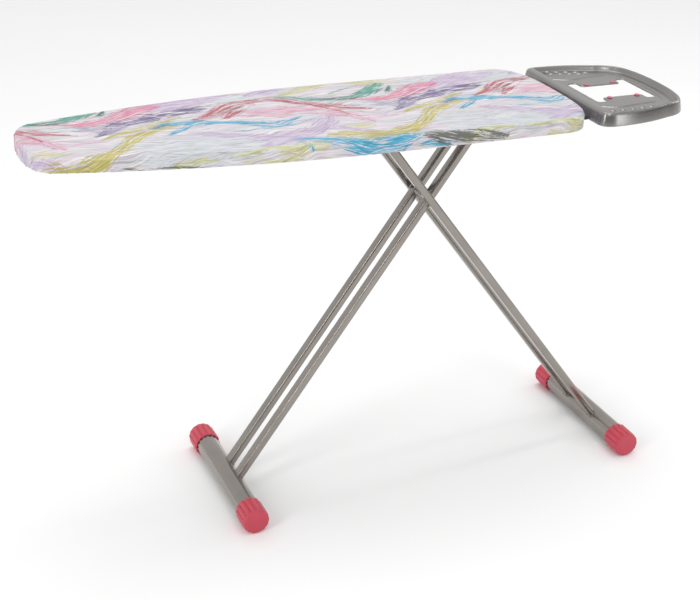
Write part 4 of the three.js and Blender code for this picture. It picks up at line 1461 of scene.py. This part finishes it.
def tray_piece():
    node = "iron_rest_tray"
    top, bottom = tray_high[2], tray_low[2]
    floor = top - 11
    x0 = tray_low[0]
    loop = closed(resample(rest_half(), 240))
    slot_x, span, slot_width, half_slot, half_gap = x0 + 58, 152, 24, 68, 42
    cut = soften(
        [
            (slot_x, -half_slot), (slot_x + slot_width, -half_slot), (slot_x + slot_width, -half_gap),
            (slot_x + span - slot_width, -half_gap), (slot_x + span - slot_width, -half_slot),
            (slot_x + span, -half_slot), (slot_x + span, half_slot),
            (slot_x + span - slot_width, half_slot), (slot_x + span - slot_width, half_gap),
            (slot_x + slot_width, half_gap), (slot_x + slot_width, half_slot), (slot_x, half_slot),
        ],
        [7, 7, 11, 11, 7, 7, 7, 7, 11, 11, 7, 7], 8,
    )
    cut = dense(cut, 2.0)
    lip = [(3.4, 0.0), (1.9, 0.22), (0.9, 0.8), (0.25, 1.7), (0.0, 2.8)]
    # Distance in from the outline, height and how far the board side stands further in.
    wide = BOARD_RIM
    rim = [
        (19.0, floor, wide), (17.6, floor + 0.25, wide), (16.4, floor + 1.2, wide),
        (15.0, floor + 4.0, wide), (13.2, floor + 7.6, wide), (11.9, top - 1.2, wide),
        (10.6, top - 0.25, wide), (9.4, top, wide), (9.0, top, 0), (7.2, top - 0.5, 0),
        (5.6, top - 1.9, 0), (4.4, top - 4.2, 0), (3.4, top - 8, 0), (2.0, top - 15, 0),
        (0.8, top - 21, 0), (0.15, bottom + 2.4, 0), (0.0, bottom + 1.2, 0), (0.35, bottom + 0.3, 0),
        (1.1, bottom, 0),
    ]

    def rim_ring(d, extra):
        """The outline moved in by d, with its board side moved in further and its corners eased."""
        ring = offset(loop, d)
        if extra:
            ring[:, 0] += 4 * np.log1p(np.exp((x0 + d + extra - ring[:, 0]) / 4))
        return ring

    outer = rim_ring(rim[0][0], wide)
    hole = offset(cut, -lip[0][0])
    grid_x, grid_y = np.meshgrid(np.arange(x0 + 20, tray_high[0] - 18, 2.2), np.arange(-170, 170, 2.2))
    spots = np.column_stack([grid_x.ravel(), grid_y.ravel()])
    spots = spots[inside(spots, rim_ring(21, wide)) & ~inside(spots, offset(cut, -5.5))]
    flat, faces = fill(outer, [hole], spots)

    def ribs(at):
        """Heights of the bumps and long curved grooves pressed into the floor."""
        x, y = at[:, 0] - x0, at[:, 1]
        height = 0 * x
        bumps = [(54 + 25.5 * k, -134.5, 95, 0.0011, 0) for k in range(5)]
        bumps += [(60 + 26 * k, -152.0, 95, 0.0011, 0) for k in range(4)]
        bumps += [(62 + 21.5 * k, 164.0, 62, -0.0009, 0.27) for k in range(5)]
        bumps += [(63 + 21.5 * k, 147.0, 63, 0.0, 0.27) for k in range(4)]
        for cx, row_y, from_x, curve, slope in bumps:
            cy = row_y + curve * (cx - from_x) ** 2 - slope * (cx - from_x)
            away = ((x - cx) / 7.2) ** 2 + ((y - cy) / 4.4) ** 2
            height = height + BUMP_HEIGHT * np.exp(-(away**1.8))
        inside_run = 1 / (1 + np.exp(-(x - 42) / 2)) / (1 + np.exp((x - 184) / 2))
        for start_y, middle_x, curve, slope in ((-114, 95, 0.0062, 0.13), (95, 92, 0.0068, 0.15)):
            past = x - middle_x
            reach = start_y + np.where(past < 0, curve * past**2, slope * past)
            height = height - GROOVE_DEPTH * np.exp(-(((y - reach) / 2.6) ** 2)) * inside_run
        arc = 226 - 0.0016 * y**2
        run = 1 / (1 + np.exp((np.abs(y) - 92) / 4))
        return height - 1.7 * np.exp(-(((x - arc) / 2.3) ** 2)) * run

    body = Body()
    body.add(np.column_stack([flat, floor + ribs(flat)]), faces)
    around_hole = []
    for d, drop in lip:
        ring = offset(cut, -d)
        start = floor + (ribs(ring) if d == lip[0][0] else 0)
        around_hole.append(np.column_stack([ring, 0 * ring[:, 0] + start - drop]))
    body.grid(around_hole)
    rows = []
    for index, (d, z, extra) in enumerate(rim):
        ring = rim_ring(d, extra)
        level = z + (ribs(ring) if index == 0 else 0)
        rows.append(np.column_stack([ring, 0 * ring[:, 0] + level]))
    body.grid(rows)
    obj = body.mesh("iron_rest_shell", 50.0)
    widest = max(obj.data.polygons, key=lambda face: face.area)
    faces_in = widest.normal.x > 0.9 and widest.center.x < x0 * MM + 0.01
    if widest.normal.z < -0.5 or faces_in:
        obj.data.flip_normals()
    run_modifier(obj, "SOLIDIFY", thickness=TRAY_SHEET * MM, offset=-1.0, use_even_offset=False)
    smooth(obj.data, 50.0)
    stand_for(obj, "tray_paint", node)

    # Screw bosses under the floor and stiffening ribs on the wall that faces the board.
    extras = Body()
    strap_top = place("rest_strap_near")[1][2]
    screw_radius = 2.3
    for side in ("near", "far"):
        y = centre(f"rest_strap_{side}")[1]
        for index in (1, 2):
            x = centre(f"rest_screw_{side}_{index}")[0]
            profile = ring_profile(6.0, screw_radius, strap_top + 0.3, floor - 2.7, 0.4)
            extras.grid(rings_z(profile, x, y, 32))
    for side in (-1, 1):
        for step in range(5):
            y = side * (128 + 4.2 * step)
            path = [
                (x0 + 0.1 + np.interp(top - z, (8, 15, 21, 25), (3.4, 2.0, 0.8, 0.1)), y, z)
                for z in np.linspace(bottom + 3, top - 8, 12)
            ]
            radii = 1.1 * np.minimum(1, np.minimum(np.arange(12) + 0.4, 11.4 - np.arange(12)) / 2)
            tube_along(extras, path, radii, 10)
    bosses = extras.mesh("iron_rest_bosses", 40.0)
    finish_piece(bosses, "tray_paint", BODY_OF[node])


def stud_piece(node):
    low, high = place(node)
    x, y, _ = (low + high) / 2
    radius = (high[0] - low[0]) / 2
    height = high[2] - low[2]
    profile = [(0.0, low[2]), (radius * 0.93, low[2]), (radius, low[2] + 0.35)]
    for turn in np.linspace(0.12, math.pi / 2, 9):
        profile.append((radius * math.cos(turn) ** 0.85, low[2] + 0.3 + (height - 0.3) * math.sin(turn)))
    profile.append((0.0, high[2]))
    return stand_for(turned_z(node + "_dome", profile, x, y, 48), "silicone", node)


def strap_piece(side):
    node = f"rest_strap_{side}"
    low, high = place(node)
    outline = rounded_box(low[0], low[1], high[0], high[1], 7.0, 8)
    y = (low[1] + high[1]) / 2
    fasteners = [f"strap_rivet_{side}", f"rest_screw_{side}_1", f"rest_screw_{side}_2"]
    holes = [circle(centre(name)[0], y, SCREW_BORE, 24) for name in fasteners]
    obj = plate(Body(), outline, low[2], high[2], "Z", 0.4, holes).mesh(node + "_bar")
    return stand_for(obj, "dark_steel", node)


def fastener_piece(node, cross):
    """A pan head from below, with a cross recess on the screws and a smooth head on the rivets."""
    low, high = place(node)
    x, y, _ = (low + high) / 2
    head = (high[0] - low[0]) / 2
    shank, deep = 1.9, 2.4
    profile = [(0.0, low[2])]
    for turn in np.linspace(0.25, math.pi / 2, 7):
        profile.append((head * math.sin(turn) ** 0.8, low[2] + 1.5 * (1 - math.cos(turn))))
    profile += [(head, low[2] + deep - 0.2), (head - 0.2, low[2] + deep), (shank, low[2] + deep)]
    if cross:
        threads = int((high[2] - low[2] - deep - 1.2) / 0.9)
        for thread in range(threads):
            z = low[2] + deep + 0.6 + thread * 0.9
            profile += [(shank * 0.8, z), (shank, z + 0.45)]
    profile += [(shank, high[2] - 0.5), (shank * 0.7, high[2]), (0.0, high[2])]
    obj = turned_z(node + "_turned", profile, x, y, 32)
    if cross:
        for long_x in (1.9, 0.45):
            wide_y = 0.45 if long_x > 1 else 1.9
            bpy.ops.mesh.primitive_cube_add(location=(x * MM, y * MM, low[2] * MM))
            cutter = bpy.context.object
            cutter.scale = (long_x * MM, wide_y * MM, 1.1 * MM)
            bpy.context.view_layer.update()
            run_modifier(obj, "BOOLEAN", operation="DIFFERENCE", object=cutter, solver="EXACT")
            bpy.data.objects.remove(cutter)
        smooth(obj.data, SHARP_ANGLE)
    return stand_for(obj, "zinc", node)


# ---------- assembly ----------
pad_piece()
deck_piece()
cover_piece()
for channel in ("nose_channel", "hinge_channel", "tail_channel"):
    channel_piece(channel)
hinge_bracket_piece()
round_rod("hinge_pin", "zinc")
round_ring("hinge_spacer", "nylon", PIN_BORE)
round_rod("pivot_rod", "zinc")
round_ring("pivot_sleeve", "leg_paint", PIN_BORE)
round_ring("slider_bar", "zinc", BAR_INSIDE)
for end in ("near", "far"):
    round_ring(f"hinge_bush_{end}", "nylon", PIN_BORE)
    round_ring(f"pivot_washer_{end}", "nylon", PIN_BORE, 0.25)
    round_ring(f"slider_glide_{end}", "nylon", BAR_BORE)
    rack_piece(end)
    strap_piece(end)
    for number in (1, 2):
        fastener_piece(f"rest_screw_{end}_{number}", True)
    fastener_piece(f"strap_rivet_{end}", False)
    for row in ("inner", "outer"):
        stud_piece(f"stud_{row}_{end}")
        foot_cap_piece(row, end)
lever_pieces()
leg_pieces("inner", "hinge_pin", PIN_BORE, True)
leg_pieces("outer", "slider_bar", BAR_BORE, False)
for row in ("inner", "outer"):
    foot_tube_piece(row)
tray_piece()


# ---------- studio ----------
def floor_piece():
    made, tree, shader = new_material("studio_floor")
    at = tree.position()
    tone = tree.mix(tree.noise(at, 1.5, 2.0), (0.95, 0.95, 0.95, 1), (0.97, 0.97, 0.97, 1))
    tree.feed(shader, {"Base Color": tone, "Roughness": 0.8, "Specular IOR Level": 0.1})
    size = 30.0
    data = bpy.data.meshes.new("floor")
    corners = [(-size, -size, 0), (size, -size, 0), (size, size, 0), (-size, size, 0)]
    data.from_pydata(corners, [], [(0, 1, 2, 3)])
    data.materials.append(made)
    obj = bpy.data.objects.new("floor", data)
    bpy.context.scene.collection.objects.link(obj)


def lamp(name, spot, aim, size, power):
    data = bpy.data.lights.new(name, "AREA")
    data.shape = "RECTANGLE"
    data.size, data.size_y = size
    data.energy = power
    obj = bpy.data.objects.new(name, data)
    bpy.context.scene.collection.objects.link(obj)
    obj.location = spot
    obj.rotation_mode = "QUATERNION"
    obj.rotation_quaternion = (Vector(aim) - Vector(spot)).to_track_quat("-Z", "Y")


def studio():
    world = bpy.data.worlds.new("studio")
    bpy.context.scene.world = world
    world.use_nodes = True
    tree = Tree(world.node_tree)
    background = world.node_tree.nodes["Background"]
    direction = tree.node("ShaderNodeTexCoord").outputs["Generated"]
    toward = tree.node("ShaderNodeSeparateXYZ", {0: direction}).outputs
    # A pale backdrop behind the board, a darker room in front of it and a bright ceiling.
    level = tree.between(toward[1], -0.5, 0.6, 0.16, 0.8)
    rise = tree.between(toward[2], 0.05, 0.75)
    sky = tree.math("ADD", level, tree.math("MULTIPLY", rise, tree.math("SUBTRACT", 0.78, level)))
    shade = tree.node("ShaderNodeCombineColor", {0: sky, 1: sky, 2: sky}).outputs[0]
    tree.tree.links.new(shade, background.inputs["Color"])
    background.inputs["Strength"].default_value = 1.0
    lamp("strip", (-4.1, -2.2, 2.5), (0, 0, 0.5), (1.0, 2.6), 60)
    lamp("top", (0.6, 1.0, 6.5), (0, 0, 0.4), (4.0, 4.0), 105)
    lamp("front", (-1.2, -6.0, 5.0), (0, 0, 0.4), (3.0, 1.6), 70)
    lamp("rim", (5.0, 0.6, 2.6), (0.1, 0, 0.5), (0.4, 2.8), 25)
    lamp("side", (3.6, -5.0, 1.4), (0.6, 0, 0.7), (0.6, 2.4), 26)
    view = bpy.context.scene.view_settings
    view.view_transform = "Standard"
    view.look = "None"


def photograph_camera():
    data = bpy.data.cameras.new("camera")
    data.lens = 73.95
    data.sensor_width = 36.0
    data.clip_end = 100.0
    obj = bpy.data.objects.new("camera", data)
    bpy.context.scene.collection.objects.link(obj)
    aim = Vector((-0.0196, 0.0, 0.4329))
    distance = 3.2249
    azimuth, elevation, roll = (math.radians(angle) for angle in (-24.379, 25.644, 2.522))
    back = Vector(
        (
            math.sin(azimuth) * math.cos(elevation),
            -math.cos(azimuth) * math.cos(elevation),
            math.sin(elevation),
        )
    )
    level = Vector((0, 0, 1)).cross(back).normalized()
    upright = back.cross(level)
    right = level * math.cos(roll) + upright * math.sin(roll)
    up = back.cross(right)
    obj.matrix_world = Matrix(
        (
            (right.x, up.x, back.x, aim.x + back.x * distance),
            (right.y, up.y, back.y, aim.y + back.y * distance),
            (right.z, up.z, back.z, aim.z + back.z * distance),
            (0, 0, 0, 1),
        )
    )
    bpy.context.scene.camera = obj


floor_piece()
studio()
photograph_camera()
